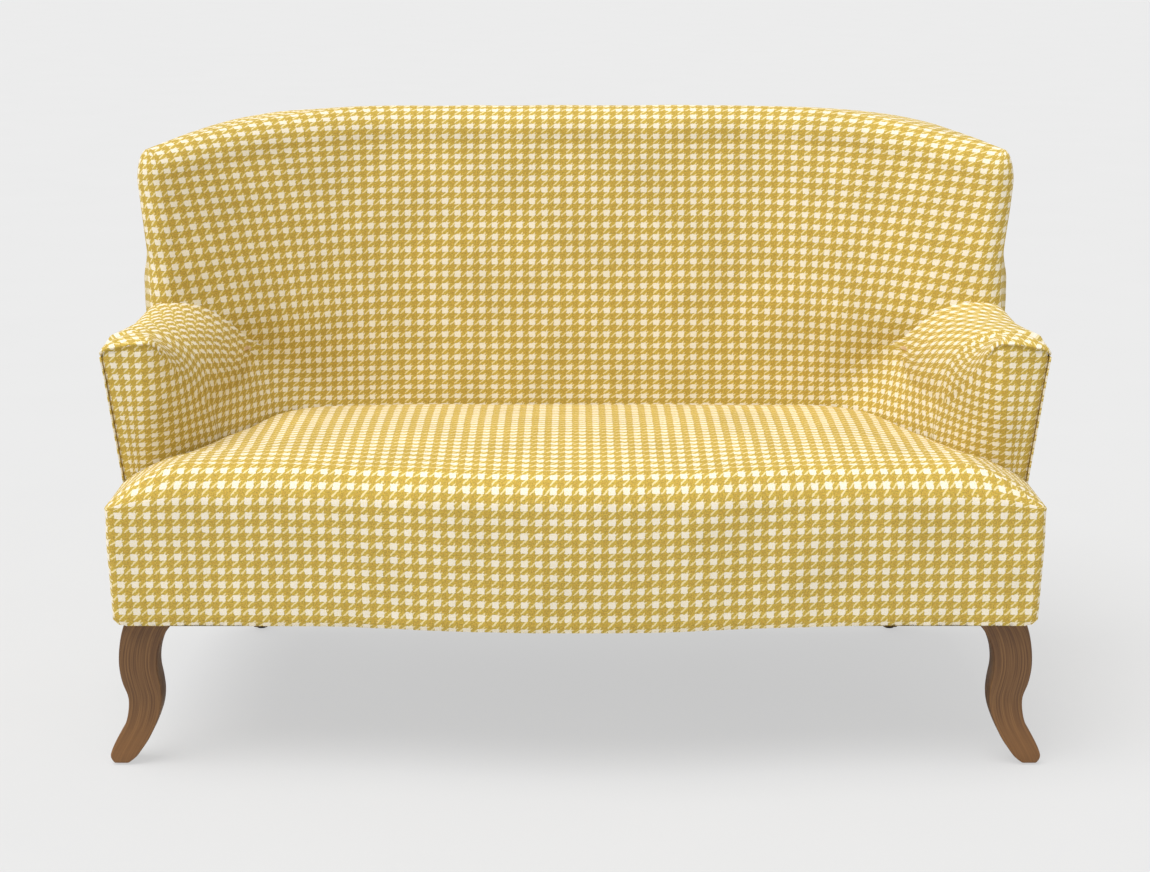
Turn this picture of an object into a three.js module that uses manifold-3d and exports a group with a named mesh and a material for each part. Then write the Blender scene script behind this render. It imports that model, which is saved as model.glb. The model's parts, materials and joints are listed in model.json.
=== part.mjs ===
// High back settee: two seats, bowed front, short wings, padded arms and four timber legs.
// Lengths are in millimetres: x along the seat, z up, and y from the plane of the seat's
// front corners towards the back. The finished group is moved so that its origin is under
// the middle of the settee's box.

import * as THREE from "three";
import { mergeVertices } from "three/addons/utils/BufferGeometryUtils.js";
import Module from "manifold-3d";

const wasm = await Module();
wasm.setup();

// Seat and base
const hemHeight = 237;
const seatHalfWidth = 720;
const seatDepth = 572;
const seatHeight = 475;
const seatFall = 17;
const seatMiddleRise = 13;
const seatSpineInset = 285;
const seatSpineBack = 125;
const seatEdgeRadius = 48;
const seatRearRounding = 14;
const frontBow = 38;
const bowHalfLength = 500;
const seatCornerRadius = 37;
const seatReturnRadius = 6;
const seatReturnRun = 45;
const baseDraw = 7;
const baseDrawHeight = 163;

// Arms
const armFront = 165;
const armFrontWidth = 85;
const armRearWidth = 228;
const armNoseRadius = 85;
const armBackRadius = 130;
const armCornerRadius = 16;
const armSeamRise = 13;
const armHeightShare = 0.37;
const armRollRise = 30;
const armRidgeRise = 15;
const armRidgeInset = 23;
const armRidgeTaper = 17;
const armRidgeSetback = 62;
const armShoulderDrop = 135;
const armFrontDrop = 24;
const armFlare = 31;
const armFlareHold = 40;
const armFlareRun = 350;

// Back and wings
const crestHeight = 966;
const wingDrop = 68;
const crestFlatHalf = 330;
const crestRounding = 55;
const wingRounding = 70;
const crestThickness = 105;
const backFootDepth = 128;
const backRakeShare = 0.249;
const wingSweep = 230;
const wingSweepAtSeat = 100;
const wingSweepRun = 470;
const wingSweepLow = 470;
const wingNoseRadius = 28;
const wingRidgeSetback = 80;
const wingRidgeInset = 25;
const wingFlare = 22;
const wingFlareHeight = 130;
const rearCornerInset = 20;
const rearCornerRadius = 45;
const ridgeCornerRadius = 130;

// Cloth, padding and the clearances between pieces
const cloth = 2;
const clearance = 0.4;
const softGap = 1;
const borderPadding = 10;
const backPadding = 44;
const wingPadding = 22;
const crestPadding = 38;
const armPadding = 32;

// Timber frame
const railHeight = 111.5;
const railThickness = 28;
const stretcherWidth = 60;
const stretcherHeight = 28;
const blockSize = 88;
const blockHeight = 70;
const postThickness = 28;
const postInset = 145;
const postFootDepth = 60;
const crestRailInset = 120;
const crestRailHeight = 62;
const tackRailHeight = 45;
const tackRailLift = 40;
const tackRailThickness = 24;
const wingPostDepth = 40;
const wingPostThickness = 45;
const wingRailHeight = 45;
const armBoardThickness = 24;
const armPostThickness = 30;
const armTackHeight = 40;
const armTackThickness = 20;

// Springs, webbing and sheets
const springCount = 6;
const springInset = 245;
const springWire = 3.8;
const springHalfWidth = 24;
const springWaves = 7;
const springEndRun = 18;
const stripWidth = 20;
const stripThickness = 1.5;
const hessianThickness = 1.2;
const hessianMargin = 14;
const webCount = 4;
const webInset = 375;
const webWidth = 50;
const webThickness = 1.5;
const dustThickness = 1.2;
const dustMargin = 9;

// Legs, glides and bolts
const legThickness = 48;
const legSetback = 18;
const legShares = [0, 0.04, 0.09, 0.18, 0.28, 0.38, 0.475, 0.57, 0.67, 0.76, 0.85, 0.93, 1];
const legInnerInsets = [14, 26, 35, 49, 60, 68, 71, 69.5, 66, 67, 72.5, 79, 90];
const legOuterInsets = [-8, -14, -11.5, -1.5, 12, 18, 18.5, 11, 7, 7, 9.5, 13.5, 19];
const legBevel = 3;
const legLevels = [0, 0.33, 0.67, 1];
const rearLegTop = 50;
const rearLegSole = 26;
const rearLegKick = 42;
const rearLegLean = 40;
const frontBoltIn = 26;
const frontBoltBack = 13;
const rearBoltIn = 55;
const rearBoltAhead = 21;
const glideRadius = 9;
const glideThickness = 2.5;
const boltRadius = 4;
const boltBelow = 38;
const boltAbove = 40;
const boltSides = 10;

// Directions and shares that the outlines are built from
const panelShare = 0.71;
const cornerSeamShare = 0.003;
const noseSeamShare = 0.0007;
const stationShares = [0, 0.16, 0.3, 0.42, 0.53, 0.63, 0.71, 0.79, 0.87, 0.94, 1];
const cornerStartShare = 0.63;
const cornerEndShare = 0.87;
const backWallShares = [0, 0.21, 0.4, 0.6, 0.8, 1];
const noseWallShare = 0.6;
const roofSteps = 4;
const noseSteps = 5;
const bowShares = [0, 0.14, 0.28, 0.42, 0.56, 0.7, 0.85, 1];
const filletShares = [0, 0.25, 0.5, 0.75, 1];
const lineShares = [0.25, 0.5, 0.75];
const returnShares = [0, 0.5, 1];
const middleShare = 0.5;
const armWallShares = [0, 0.35, 0.68, 1];
const seatWallShares = [0, 1];
const domeShares = [0.4, 0.8];
const edgeSteps = 3;
const stripEndShare = 0.75;
const springBendShares = [0.25, 0.75];
const roomHeightShares = [0, 0.15, 0.3, 0.5, 0.8, 1];
const mergeShare = 0.0001;
const overrun = 30;

// Lengths and heights that follow from the sizes above
const seatRearHeight = seatHeight - seatFall;
const seatSpineHalf = seatHalfWidth - seatSpineInset;
const armInnerFront = seatHalfWidth - armFrontWidth;
const armInnerRear = seatHalfWidth - armRearWidth;
const wingHeight = crestHeight - wingDrop;
const armRidgeHeight = seatHeight + armHeightShare * (crestHeight - seatHeight);
const armSeamHeight = armRidgeHeight - armRollRise;
const wingSweepStart = seatHalfWidth - wingSweepRun;
const crestRailHalf = seatHalfWidth - crestRailInset;
const springPitch = (2 * (seatHalfWidth - springInset)) / (springCount - 1);
const webPitch = (2 * (seatHalfWidth - webInset)) / (webCount - 1);
const legInnerEdge = legInnerInsets.map((inset) => seatHalfWidth - inset);
const legOuterEdge = legOuterInsets.map((inset) => seatHalfWidth - inset);
const railBottom = hemHeight + dustThickness + clearance;
const railTop = railBottom + railHeight;
const stripBottom = railTop + springWire + 2 * clearance;
const hessianBottom = stripBottom + stripThickness + clearance;
const deck = hessianBottom + hessianThickness + clearance;
const baseDrawTop = hemHeight + baseDraw + baseDrawHeight;
const wallGap = cloth + clearance;
const frameGap = wallGap + clearance;
const crestRidgeSpring = crestHeight - crestRounding;

const clamp01 = (value) => Math.min(1, Math.max(0, value));
const between = (value, low, high) => clamp01((value - low) / (high - low));
const lerp = THREE.MathUtils.lerp;
const ease = (share) => share * share * (3 - 2 * share);

// Outer side of the settee: drawn in at the hem, flared at the arm's roll and the wing's top
function sideX(y, z) {
  const draw = baseDraw * (1 - between(z, hemHeight, baseDrawTop));
  const along = 1 - between(y, armFront + armFlareHold, armFront + armFlareRun);
  const rise = between(z, baseDrawTop, armSeamHeight);
  const fall = 1 - between(z, armSeamHeight + armSeamRise, armSeamHeight + armSeamRise + wingRounding);
  const wing = between(z, wingHeight - wingFlareHeight - armSeamRise, wingHeight - armSeamRise);
  return seatHalfWidth - draw + armFlare * ease(along) * Math.min(rise, fall) + wingFlare * wing * wing;
}

// Inside of the back: raked, and swept forward into the wings
function sweepAt(z) {
  return lerp(wingSweepAtSeat, wingSweep, ease(between(z, wingSweepLow, armSeamHeight + armSeamRise)));
}
function sweepShare(x) {
  return Math.max(0, Math.abs(x) - wingSweepStart) / wingSweepRun;
}
function insideBackY(x, z) {
  const share = sweepShare(x);
  return seatDepth + backRakeShare * (z - seatRearHeight) - sweepAt(z) * share * share;
}
function sweepSlope(x, z) {
  return (2 * sweepAt(z) * sweepShare(x)) / wingSweepRun;
}
function outsideBackY(z) {
  const foot = seatDepth + backFootDepth;
  const top = insideBackY(0, crestRidgeSpring) + crestThickness;
  return lerp(foot, top, (z - hemHeight) / (crestRidgeSpring - hemHeight));
}

// A point on the arc that rounds a corner, from its start (share 0) to its end (share 1)
function cornerPoint(before, corner, after, radius, share) {
  const toStart = before.clone().sub(corner).normalize();
  const toEnd = after.clone().sub(corner).normalize();
  const half = Math.acos(toStart.dot(toEnd)) / 2;
  const middle = toStart.clone().add(toEnd).normalize();
  const centre = corner.clone().addScaledVector(middle, radius / Math.sin(half));
  const start = corner.clone().addScaledVector(toStart, radius / Math.tan(half)).sub(centre);
  const end = corner.clone().addScaledVector(toEnd, radius / Math.tan(half)).sub(centre);
  const turn = Math.atan2(start.cross(end), start.dot(end));
  return start.rotateAround(new THREE.Vector2(), turn * share).add(centre);
}
const xy = (x, y) => new THREE.Vector2(x, y);

// Skins: four-sided cells that close into one solid. Cells past the middle of a thing that is
// the same on both sides are split the other way, so that both sides are alike.
class Skin {
  constructor() {
    this.places = [];
  }
  cell(a, b, c, d, turned, flip) {
    const faces = turned ? [a, b, d, b, c, d] : [a, b, c, a, c, d];
    this.places.push(...(flip ? faces.reverse() : faces));
  }
  // Rows of points, all the same length; wrap joins each row's end to its start
  rows(rows, wrap, flip = false, turned = () => false) {
    const count = rows[0].length;
    for (let j = 0; j + 1 < rows.length; j += 1) {
      for (let i = 0; i + (wrap ? 0 : 1) < count; i += 1) {
        const next = (i + 1) % count;
        this.cell(rows[j][i], rows[j][next], rows[j + 1][next], rows[j + 1][i], turned(j, i), flip);
      }
    }
  }
  solid() {
    return solidOf(new THREE.BufferGeometry().setFromPoints(this.places));
  }
}
const leftHalf = (ring) => (j, i) => i >= (ring.length - 1) / 2;

// A closed geometry as a solid: vertices merged, collapsed faces dropped, faces turned outwards
function solidOf(geometry) {
  const bare = geometry.clone();
  bare.deleteAttribute("normal");
  bare.deleteAttribute("uv");
  const merged = mergeVertices(bare, cloth * mergeShare);
  const places = merged.getAttribute("position");
  const index = merged.getIndex().array;
  const faces = [];
  for (let k = 0; k < index.length; k += 3) {
    const [a, b, c] = [index[k], index[k + 1], index[k + 2]];
    if (a !== b && b !== c && a !== c) faces.push([a, b, c]);
  }
  const corner = (k) => new THREE.Vector3().fromBufferAttribute(places, k);
  const volume = faces.reduce((sum, [a, b, c]) => sum + corner(a).dot(corner(b).cross(corner(c))), 0);
  const turned = volume < 0 ? faces.map(([a, b, c]) => [a, c, b]) : faces;
  const mesh = new wasm.Mesh({
    numProp: 3,
    vertProperties: new Float32Array(places.array),
    triVerts: new Uint32Array(turned.flat()),
  });
  return new wasm.Manifold(mesh);
}

// A tube of closed sections whose second half runs back beside the first, closed at both ends
function tubeOf(sections, turned) {
  const skin = new Skin();
  skin.rows(sections, true, false, turned);
  const half = sections[0].length / 2;
  const [first, last] = [sections[0], sections.at(-1)];
  skin.rows([first.slice(0, half), first.slice(half).reverse()], false, true);
  skin.rows([last.slice(0, half), last.slice(half).reverse()], false);
  return skin.solid();
}

// A sheet between two grids of points; keep says which cells it has. A folded sheet needs no
// wall along its top row, because that row is closed on itself.
function sheetOf(outside, inside, { wrap = false, folded = false, keep, turned = () => false }) {
  const skin = new Skin();
  const count = outside[0].length;
  const cells = wrap ? count : count - 1;
  const column = (i) => (wrap ? (i + count) % count : i);
  const inGrid = (j, i) => j >= 0 && j + 1 < outside.length && i >= 0 && i < cells;
  const top = outside.length - 1;
  const has = (j, i) => (folded && j === top) || (inGrid(j, column(i)) && keep(j, column(i)));
  for (let j = 0; j + 1 < outside.length; j += 1) {
    for (let i = 0; i < cells; i += 1) {
      if (!has(j, i)) continue;
      const next = (i + 1) % count;
      for (const [grid, flip] of [[outside, false], [inside, true]]) {
        skin.cell(grid[j][i], grid[j][next], grid[j + 1][next], grid[j + 1][i], turned(j, i), flip);
      }
      const wall = (j0, i0, j1, i1) => {
        skin.cell(outside[j0][i0], inside[j0][i0], inside[j1][i1], outside[j1][i1], false, false);
      };
      if (!has(j - 1, i)) wall(j, i, j, next);
      if (!has(j + 1, i)) wall(j + 1, next, j + 1, i);
      if (!has(j, i - 1)) wall(j + 1, i, j, i);
      if (!has(j, i + 1)) wall(j, next, j + 1, next);
    }
  }
  return skin.solid();
}

function geometryOf(solid) {
  const mesh = solid.getMesh();
  const geometry = new THREE.BufferGeometry();
  const places = new Float32Array(mesh.numVert * 3);
  for (let k = 0; k < mesh.numVert; k += 1) {
    places.set(mesh.vertProperties.subarray(k * mesh.numProp, k * mesh.numProp + 3), k * 3);
  }
  geometry.setAttribute("position", new THREE.BufferAttribute(places, 3));
  geometry.setIndex(new THREE.BufferAttribute(new Uint32Array(mesh.triVerts), 1));
  geometry.computeVertexNormals();
  return geometry;
}

function mirrored(solid) {
  const mesh = solid.getMesh();
  const places = new Float32Array(mesh.numVert * mesh.numProp);
  places.set(mesh.vertProperties);
  const faces = new Uint32Array(mesh.triVerts.length);
  for (let k = 0; k < places.length; k += mesh.numProp) places[k] *= -1;
  for (let k = 0; k < faces.length; k += 3) {
    faces.set([mesh.triVerts[k], mesh.triVerts[k + 2], mesh.triVerts[k + 1]], k);
  }
  const other = new wasm.Mesh({ numProp: mesh.numProp, vertProperties: places, triVerts: faces });
  return new wasm.Manifold(other);
}

// A block between two corners
function block(x0, x1, y0, y1, z0, z1) {
  const geometry = new THREE.BoxGeometry(x1 - x0, y1 - y0, z1 - z0);
  geometry.translate((x0 + x1) / 2, (y0 + y1) / 2, (z0 + z1) / 2);
  return solidOf(geometry);
}

// An upright prism over an outline in plan
function prism(outline, z0, z1) {
  const shape = new THREE.Shape(outline);
  const geometry = new THREE.ExtrudeGeometry(shape, { depth: z1 - z0, bevelEnabled: false });
  geometry.translate(0, 0, z0);
  return solidOf(geometry);
}

const bothSides = (solid) => solid.add(mirrored(solid));

// Largest piece of a cut solid
function mainPiece(solid) {
  const pieces = solid.decompose();
  return pieces.reduce((best, piece) => (piece.volume() > best.volume() ? piece : best));
}

const farSide = seatHalfWidth + armFlare + overrun;
const farBack = seatDepth + backFootDepth + crestThickness + overrun;
const farTop = crestHeight + overrun;
const slab = (y0, y1, z0, z1) => block(-farSide, farSide, y0, y1, z0, z1);

// Back: its plan at a height, from the middle of the inside round the wing to the middle behind
function wingNose(z, inset) {
  const outer = sideX(insideBackY(seatHalfWidth, z), z) - wingNoseRadius;
  const reach = outer - wingNoseRadius * Math.SQRT1_2;
  const angle = Math.atan(sweepSlope(reach, z));
  const touch = outer - wingNoseRadius * Math.sin(angle);
  const centre = xy(outer, insideBackY(touch, z) + wingNoseRadius * Math.cos(angle));
  return { angle, touch, centre, radius: Math.max(cloth, wingNoseRadius - inset) };
}

function backInner(share, z, inset) {
  const nose = wingNose(z, inset);
  const x = nose.touch * share;
  const slope = sweepSlope(x, z);
  const lean = Math.hypot(1, slope);
  return xy(x + (inset * slope) / lean, insideBackY(x, z) + inset / lean);
}

function backNose(share, z, inset) {
  const nose = wingNose(z, inset);
  const turn = (1 - share) * (Math.PI / 2 + nose.angle);
  return nose.centre.clone().add(xy(nose.radius * Math.cos(turn), -nose.radius * Math.sin(turn)));
}

function alongPath(places, share) {
  const lengths = places.slice(1).map((place, k) => place.distanceTo(places[k]));
  let left = share * lengths.reduce((sum, length) => sum + length, 0);
  for (let k = 0; k < lengths.length; k += 1) {
    if (left <= lengths[k] || k === lengths.length - 1) {
      return places[k].clone().lerp(places[k + 1], left / lengths[k]);
    }
    left -= lengths[k];
  }
  return places[0].clone();
}

function roundedPath(before, corner, after, radius, steps) {
  const arc = [];
  for (let k = 0; k <= steps; k += 1) arc.push(cornerPoint(before, corner, after, radius, k / steps));
  return [before, ...arc, after];
}

function backOuter(share, z, inset) {
  const nose = wingNose(z, inset);
  const rear = outsideBackY(z) - inset;
  const start = xy(nose.centre.x + nose.radius, nose.centre.y);
  const corner = xy(nose.centre.x + wingNoseRadius - rearCornerInset - inset, rear);
  const radius = Math.max(cloth, rearCornerRadius - inset);
  const turnAt = (part) => cornerPoint(xy(0, rear), corner, start, radius, part);
  if (share <= cornerStartShare) return xy(0, rear).lerp(turnAt(0), share / cornerStartShare);
  if (share >= cornerEndShare) return turnAt(1).lerp(start, between(share, cornerEndShare, 1));
  return turnAt(between(share, cornerStartShare, cornerEndShare));
}

const noseAtTop = wingNose(wingHeight - wingRounding, 0);
const ridgeY = (insideBackY(0, crestRidgeSpring) + outsideBackY(crestRidgeSpring)) / 2;
const ridgeEnd = xy(seatHalfWidth - wingRidgeInset, noseAtTop.centre.y - wingNoseRadius + wingRidgeSetback);
const ridgePath = roundedPath(
  xy(0, ridgeY),
  xy(ridgeEnd.x, ridgeY),
  ridgeEnd,
  ridgeCornerRadius,
  noseSteps,
);
const ridgeLength = ridgePath.slice(1).reduce((sum, place, k) => sum + place.distanceTo(ridgePath[k]), 0);

function ridgeHeight(share) {
  const past = between(share * ridgeLength, crestFlatHalf, ridgeLength);
  return crestHeight - (crestHeight - wingHeight) * past * past;
}

// Stations round the right half of the back
const noseShares = [...Array(noseSteps - 1).keys()].map((k) => (k + 1) / noseSteps);
const backStations = [
  ...stationShares.map((share) => ({ wall: backInner, share, ridge: share })),
  ...noseShares.map((share) => ({ wall: backNose, share, ridge: 1 })),
  ...[...stationShares].reverse().map((share) => ({ wall: backOuter, share, ridge: share })),
];

const noseStart = stationShares.length - 1;
const noseEnd = noseStart + noseSteps;

function backPoint(station, level, inset, bottom) {
  const rounding = lerp(crestRounding, wingRounding, station.ridge * station.ridge);
  const spring = ridgeHeight(station.ridge) - rounding;
  const low = Math.min(bottom(station), spring);
  if (level < backWallShares.length) {
    const z = lerp(low, spring, backWallShares[level]);
    const place = station.wall(station.share, z, inset);
    return new THREE.Vector3(place.x, place.y, z);
  }
  const turn = ((level - backWallShares.length + 1) / roofSteps) * (Math.PI / 2);
  const foot = station.wall(station.share, spring, inset);
  const place = foot.lerp(alongPath(ridgePath, station.ridge), 1 - Math.cos(turn));
  return new THREE.Vector3(place.x, place.y, spring + (rounding - inset) * Math.sin(turn));
}

function bothHalves(half) {
  const other = half.slice(1, -1).reverse();
  return [...half, ...other.map((place) => place.clone().multiply(new THREE.Vector3(-1, 1, 1)))];
}

function backRows(inset, bottom) {
  const rows = [];
  for (let level = 0; level < backWallShares.length + roofSteps; level += 1) {
    rows.push(bothHalves(backStations.map((station) => backPoint(station, level, inset, bottom))));
  }
  return rows;
}

// The body is closed above by the ridge, and below by a line midway between its two faces
function backBody(inset, low) {
  const rows = backRows(inset, () => low);
  const count = backStations.length;
  const fold = backStations.map((station, k) => {
    const face = Math.min(k, count - 1 - k, noseStart);
    return rows[0][face].clone().lerp(rows[0][count - 1 - face], middleShare);
  });
  return foldedBody(bothHalves(fold), rows);
}

function foldedBody(fold, rows) {
  const skin = new Skin();
  skin.rows([fold, ...rows], true, false, leftHalf(fold));
  return skin.solid();
}

// Room inside the back's padding: behind a padded front and under a padded crest
function backRoom(gap, lowered) {
  const pastNose = 1 + wingNoseRadius / seatHalfWidth;
  const shares = [...stationShares, pastNose, (farSide + overrun) / seatHalfWidth];
  const sections = [];
  const half = shares.map((share) => share * noseAtTop.touch);
  const places = [...half.slice(1).reverse().map((x) => -x), ...half];
  for (const x of places) {
    const reach = Math.min(Math.abs(x), noseAtTop.touch);
    const padding = lerp(backPadding, wingPadding, sweepShare(reach)) + wallGap + gap;
    const falling = ease(between(Math.abs(x), ridgeEnd.x - ridgeCornerRadius, ridgeEnd.x - wingNoseRadius));
    const crest = lerp(ridgeHeight(Math.abs(x) / ridgeLength), wingHeight, falling);
    const top = crest - crestPadding - gap - lowered;
    const front = roomHeightShares.map((share) => {
      const z = lerp(deck - overrun, top, share);
      const y = insideBackY(reach, z) + padding * Math.hypot(1, sweepSlope(reach, z));
      return new THREE.Vector3(x, y, z);
    });
    const rear = front.map((place) => new THREE.Vector3(x, farBack + overrun, place.z)).reverse();
    sections.push([...front, ...rear]);
  }
  return tubeOf(sections, (j) => j < (sections.length - 1) / 2);
}

// Everything behind the front surface of the back and wings: what the arms are cut by
function behindBack(gap) {
  const inner = backStations.slice(0, noseEnd + 1);
  const levels = backWallShares.map((share, level) => level);
  const rows = [-1, ...levels].map((level) => {
    const front = inner.map((station) => {
      const place = backPoint(station, Math.max(0, level), -gap, () => deck);
      return level < 0 ? place.setZ(hemHeight - overrun) : place;
    });
    const last = front.at(-1);
    front.push(new THREE.Vector3(farSide + overrun, last.y, last.z));
    const behind = front.map((place) => new THREE.Vector3(place.x, farBack, place.z)).reverse();
    return [...front, ...behind];
  });
  return tubeOf(rows);
}

// Arms: the plan of the right arm at a height, each corner rounded. An inset has the
// distance into the inner face and the front, and the distance into the outer side.
const evenly = (inset) => ({ face: inset, side: inset });
const armLine = xy(armInnerRear - armInnerFront, seatDepth - armFront).normalize();

function onArmLine(y, inset) {
  const x = armInnerFront + inset * armLine.y;
  const start = armFront - inset * armLine.x;
  return xy(x + ((y - start) * armLine.x) / armLine.y, y);
}

const armFrontCorner = (inset) => onArmLine(armFront + inset, inset);
const armRearCorner = (z, inset) => onArmLine(insideBackY(0, z) + inset, inset);

function armNosePoint(share, z, inset) {
  const corner = armFrontCorner(inset);
  const radius = Math.max(cloth, armNoseRadius - inset);
  return cornerPoint(armRearCorner(z, inset), corner, xy(farSide, corner.y), radius, share);
}

function armFilletPoint(share, z, inset) {
  const corner = armRearCorner(z, inset);
  return cornerPoint(xy(0, corner.y), corner, armFrontCorner(inset), armBackRadius + inset, share);
}

function armOuterCorner(share, z, inset) {
  const corner = xy(sideX(armFront, z) - inset.side, armFront + inset.face);
  const radius = Math.max(cloth, armCornerRadius - inset.face);
  return cornerPoint(xy(0, corner.y), corner, xy(corner.x, farBack), radius, share);
}

const armEnd = seatDepth + armFlareHold;
const armLast = armEnd + armFlareHold;
const armTangent = armFilletPoint(1, seatRearHeight, 0).y;
const armRidgeStart = armFront + armRidgeSetback;
const armStopsRear = filletShares.map((share) => lerp(armEnd, armTangent, share));
const armStopsFront = lineShares.map((share) => lerp(armTangent, armRidgeStart, share));

function armRidge(y) {
  const along = between(y, armRidgeStart, armEnd);
  const x = seatHalfWidth - armRidgeInset - armRidgeTaper * along;
  return new THREE.Vector3(x, y, armRidgeHeight + armRidgeRise * along);
}

const armSeamAt = (y) => armSeamHeight + armSeamRise * between(y, armRidgeStart, armStopsFront[0]);

// Stations round the arm, from the back of its inside round the front to the back of its outside
function armStations() {
  const list = [];
  const add = (zone, ridge, at, turn = 0) => list.push({ zone, ridge, at, turn });
  add("inner", armLast, (z, inset) => xy(armFilletPoint(0, z, inset.face).x, armLast));
  filletShares.forEach((share, k) => {
    add("inner", armStopsRear[k], (z, inset) => armFilletPoint(share, z, inset.face));
  });
  lineShares.forEach((share, k) => {
    const at = (z, inset) => armFilletPoint(1, z, inset.face).lerp(armNosePoint(0, z, inset.face), share);
    add("inner", armStopsFront[k], at);
  });
  for (let k = 0; k <= noseSteps; k += 1) {
    add("nose", armRidgeStart, (z, inset) => armNosePoint(k / noseSteps, z, inset.face), k / noseSteps);
  }
  add("front", armRidgeStart, (z, inset) => {
    const start = armNosePoint(1, z, inset.face);
    return start.lerp(armOuterCorner(0, z, inset), middleShare);
  });
  for (const share of returnShares) {
    add("corner", armRidgeStart, (z, inset) => armOuterCorner(share, z, inset));
  }
  const stops = [...armStopsRear, ...armStopsFront, armRidgeStart].reverse();
  for (const y of [...stops, armLast]) {
    add("outer", y, (z, inset) => xy(sideX(y, z) - inset.side, y));
  }
  return list;
}
const armRing = armStations();

function armSpring(station) {
  const inner = armRidge(station.ridge).z - armShoulderDrop;
  const front = armRidgeHeight - armFrontDrop;
  if (station.zone === "inner") return inner;
  if (station.zone === "nose") return lerp(inner, front, ease(station.turn));
  if (station.zone === "outer") return armSeamAt(station.ridge);
  return station.zone === "corner" ? armSeamHeight : front;
}

function armPoint(station, level, inset, bottom) {
  const ridge = armRidge(station.ridge);
  const crown = ridge.z - inset.face;
  const spring = Math.min(armSpring(station), crown - cloth);
  const low = Math.min(bottom(station), spring);
  if (level < armWallShares.length) {
    const z = lerp(low, spring, armWallShares[level]);
    const place = station.at(z, inset);
    return new THREE.Vector3(place.x, place.y, z);
  }
  const turn = ((level - armWallShares.length + 1) / roofSteps) * (Math.PI / 2);
  const place = station.at(spring, inset).lerp(xy(ridge.x, ridge.y), 1 - Math.cos(turn));
  return new THREE.Vector3(place.x, place.y, lerp(spring, crown, Math.sin(turn)));
}

function armRows(inset, bottom) {
  const rows = [];
  for (let level = 0; level < armWallShares.length + roofSteps; level += 1) {
    rows.push(armRing.map((station) => armPoint(station, level, inset, bottom)));
  }
  return rows;
}

function armBody(inset, low) {
  const rows = armRows(inset, () => low);
  const fold = rows.at(-1).map((place) => new THREE.Vector3(place.x, place.y, low));
  const skin = new Skin();
  skin.rows([fold, ...rows], true);
  return skin.solid();
}

// Seat: its plan at a height, from the middle of the front round the corner to the middle behind
const bowAt = (x) => frontBow * Math.cos((Math.PI / 2) * clamp01(Math.abs(x) / bowHalfLength)) ** 2;

// The back's face at a height, as straight as its cover lies between the stations
function backFaceY(x, z) {
  const places = stationShares.map((share) => backInner(share, z, 0));
  const k = Math.max(1, places.findIndex((place) => place.x >= x));
  const share = (x - places[k - 1].x) / (places[k].x - places[k - 1].x);
  return lerp(places[k - 1].y, places[k].y, share);
}

function seatStations() {
  const list = [];
  const add = (zone, at) => list.push({ zone, at });
  const beforeBack = (place, z, inset) => {
    const limit = backFaceY(place.x, z) - softGap - inset;
    return xy(place.x, Math.min(place.y, limit));
  };
  for (const share of bowShares) {
    const x = share * bowHalfLength;
    add("front", (z, inset) => xy(x, inset - bowAt(x)));
  }
  const cornerAt = (share, z, inset) => {
    const corner = xy(sideX(0, z) - inset, inset);
    const radius = Math.max(cloth, seatCornerRadius - inset);
    return cornerPoint(xy(0, corner.y), corner, xy(corner.x, farBack), radius, share);
  };
  add("front", (z, inset) => xy(bowHalfLength, inset).lerp(cornerAt(0, z, inset), middleShare));
  for (const share of filletShares) add("front", (z, inset) => cornerAt(share, z, inset));
  add("front", (z, inset) => xy(sideX(0, z) - inset, armFront - seatReturnRun));
  for (const share of returnShares) {
    add(share ? "rear" : "side", (z, inset) => {
      const corner = xy(sideX(0, z) - inset, armFront - softGap - inset);
      const radius = Math.max(cloth, seatReturnRadius - inset);
      return cornerPoint(xy(corner.x, 0), corner, xy(0, corner.y), radius, share);
    });
  }
  for (let k = noseSteps; k >= 0; k -= 1) {
    add("rear", (z, inset) => armNosePoint(k / noseSteps, z, -softGap - inset));
  }
  for (const share of [...lineShares].reverse()) {
    add("rear", (z, inset) => {
      const end = armFilletPoint(1, z, -softGap - inset);
      return end.lerp(armNosePoint(0, z, -softGap - inset), share);
    });
  }
  for (const share of [...filletShares].reverse()) {
    add("rear", (z, inset) => beforeBack(armFilletPoint(share, z, -softGap - inset), z, inset));
  }
  for (const share of [...lineShares].reverse()) {
    add("rear", (z, inset) => {
      const place = armFilletPoint(0, z, -softGap - inset);
      return beforeBack(xy(place.x * share, place.y), z, inset);
    });
  }
  add("rear", (z, inset) => beforeBack(xy(0, farBack), z, inset));
  return list;
}
const seatRing = seatStations();

function seatPoint(station, level, inset, bottom) {
  const rear = station.zone !== "front";
  const radius = rear ? seatRearRounding : seatEdgeRadius;
  const top = rear ? seatRearHeight : seatHeight;
  const spring = top - radius;
  if (level < seatWallShares.length) {
    const z = lerp(Math.min(bottom(station), spring), spring, seatWallShares[level]);
    const place = station.at(z, inset);
    return new THREE.Vector3(place.x, place.y, z);
  }
  const step = level - seatWallShares.length + 1;
  const turn = (Math.min(step, edgeSteps) / edgeSteps) * (Math.PI / 2);
  const rim = station.at(spring, inset + (radius - inset) * (1 - Math.cos(turn)));
  const z = spring + (radius - inset) * Math.sin(turn);
  if (step <= edgeSteps) return new THREE.Vector3(rim.x, rim.y, z);
  const share = domeShares[step - edgeSteps - 1];
  const crown = seatHeight + seatMiddleRise - inset;
  rim.lerp(xy(Math.min(rim.x, seatSpineHalf), seatSpineBack), share);
  return new THREE.Vector3(rim.x, rim.y, lerp(z, crown, Math.sin((share * Math.PI) / 2)));
}

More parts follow.
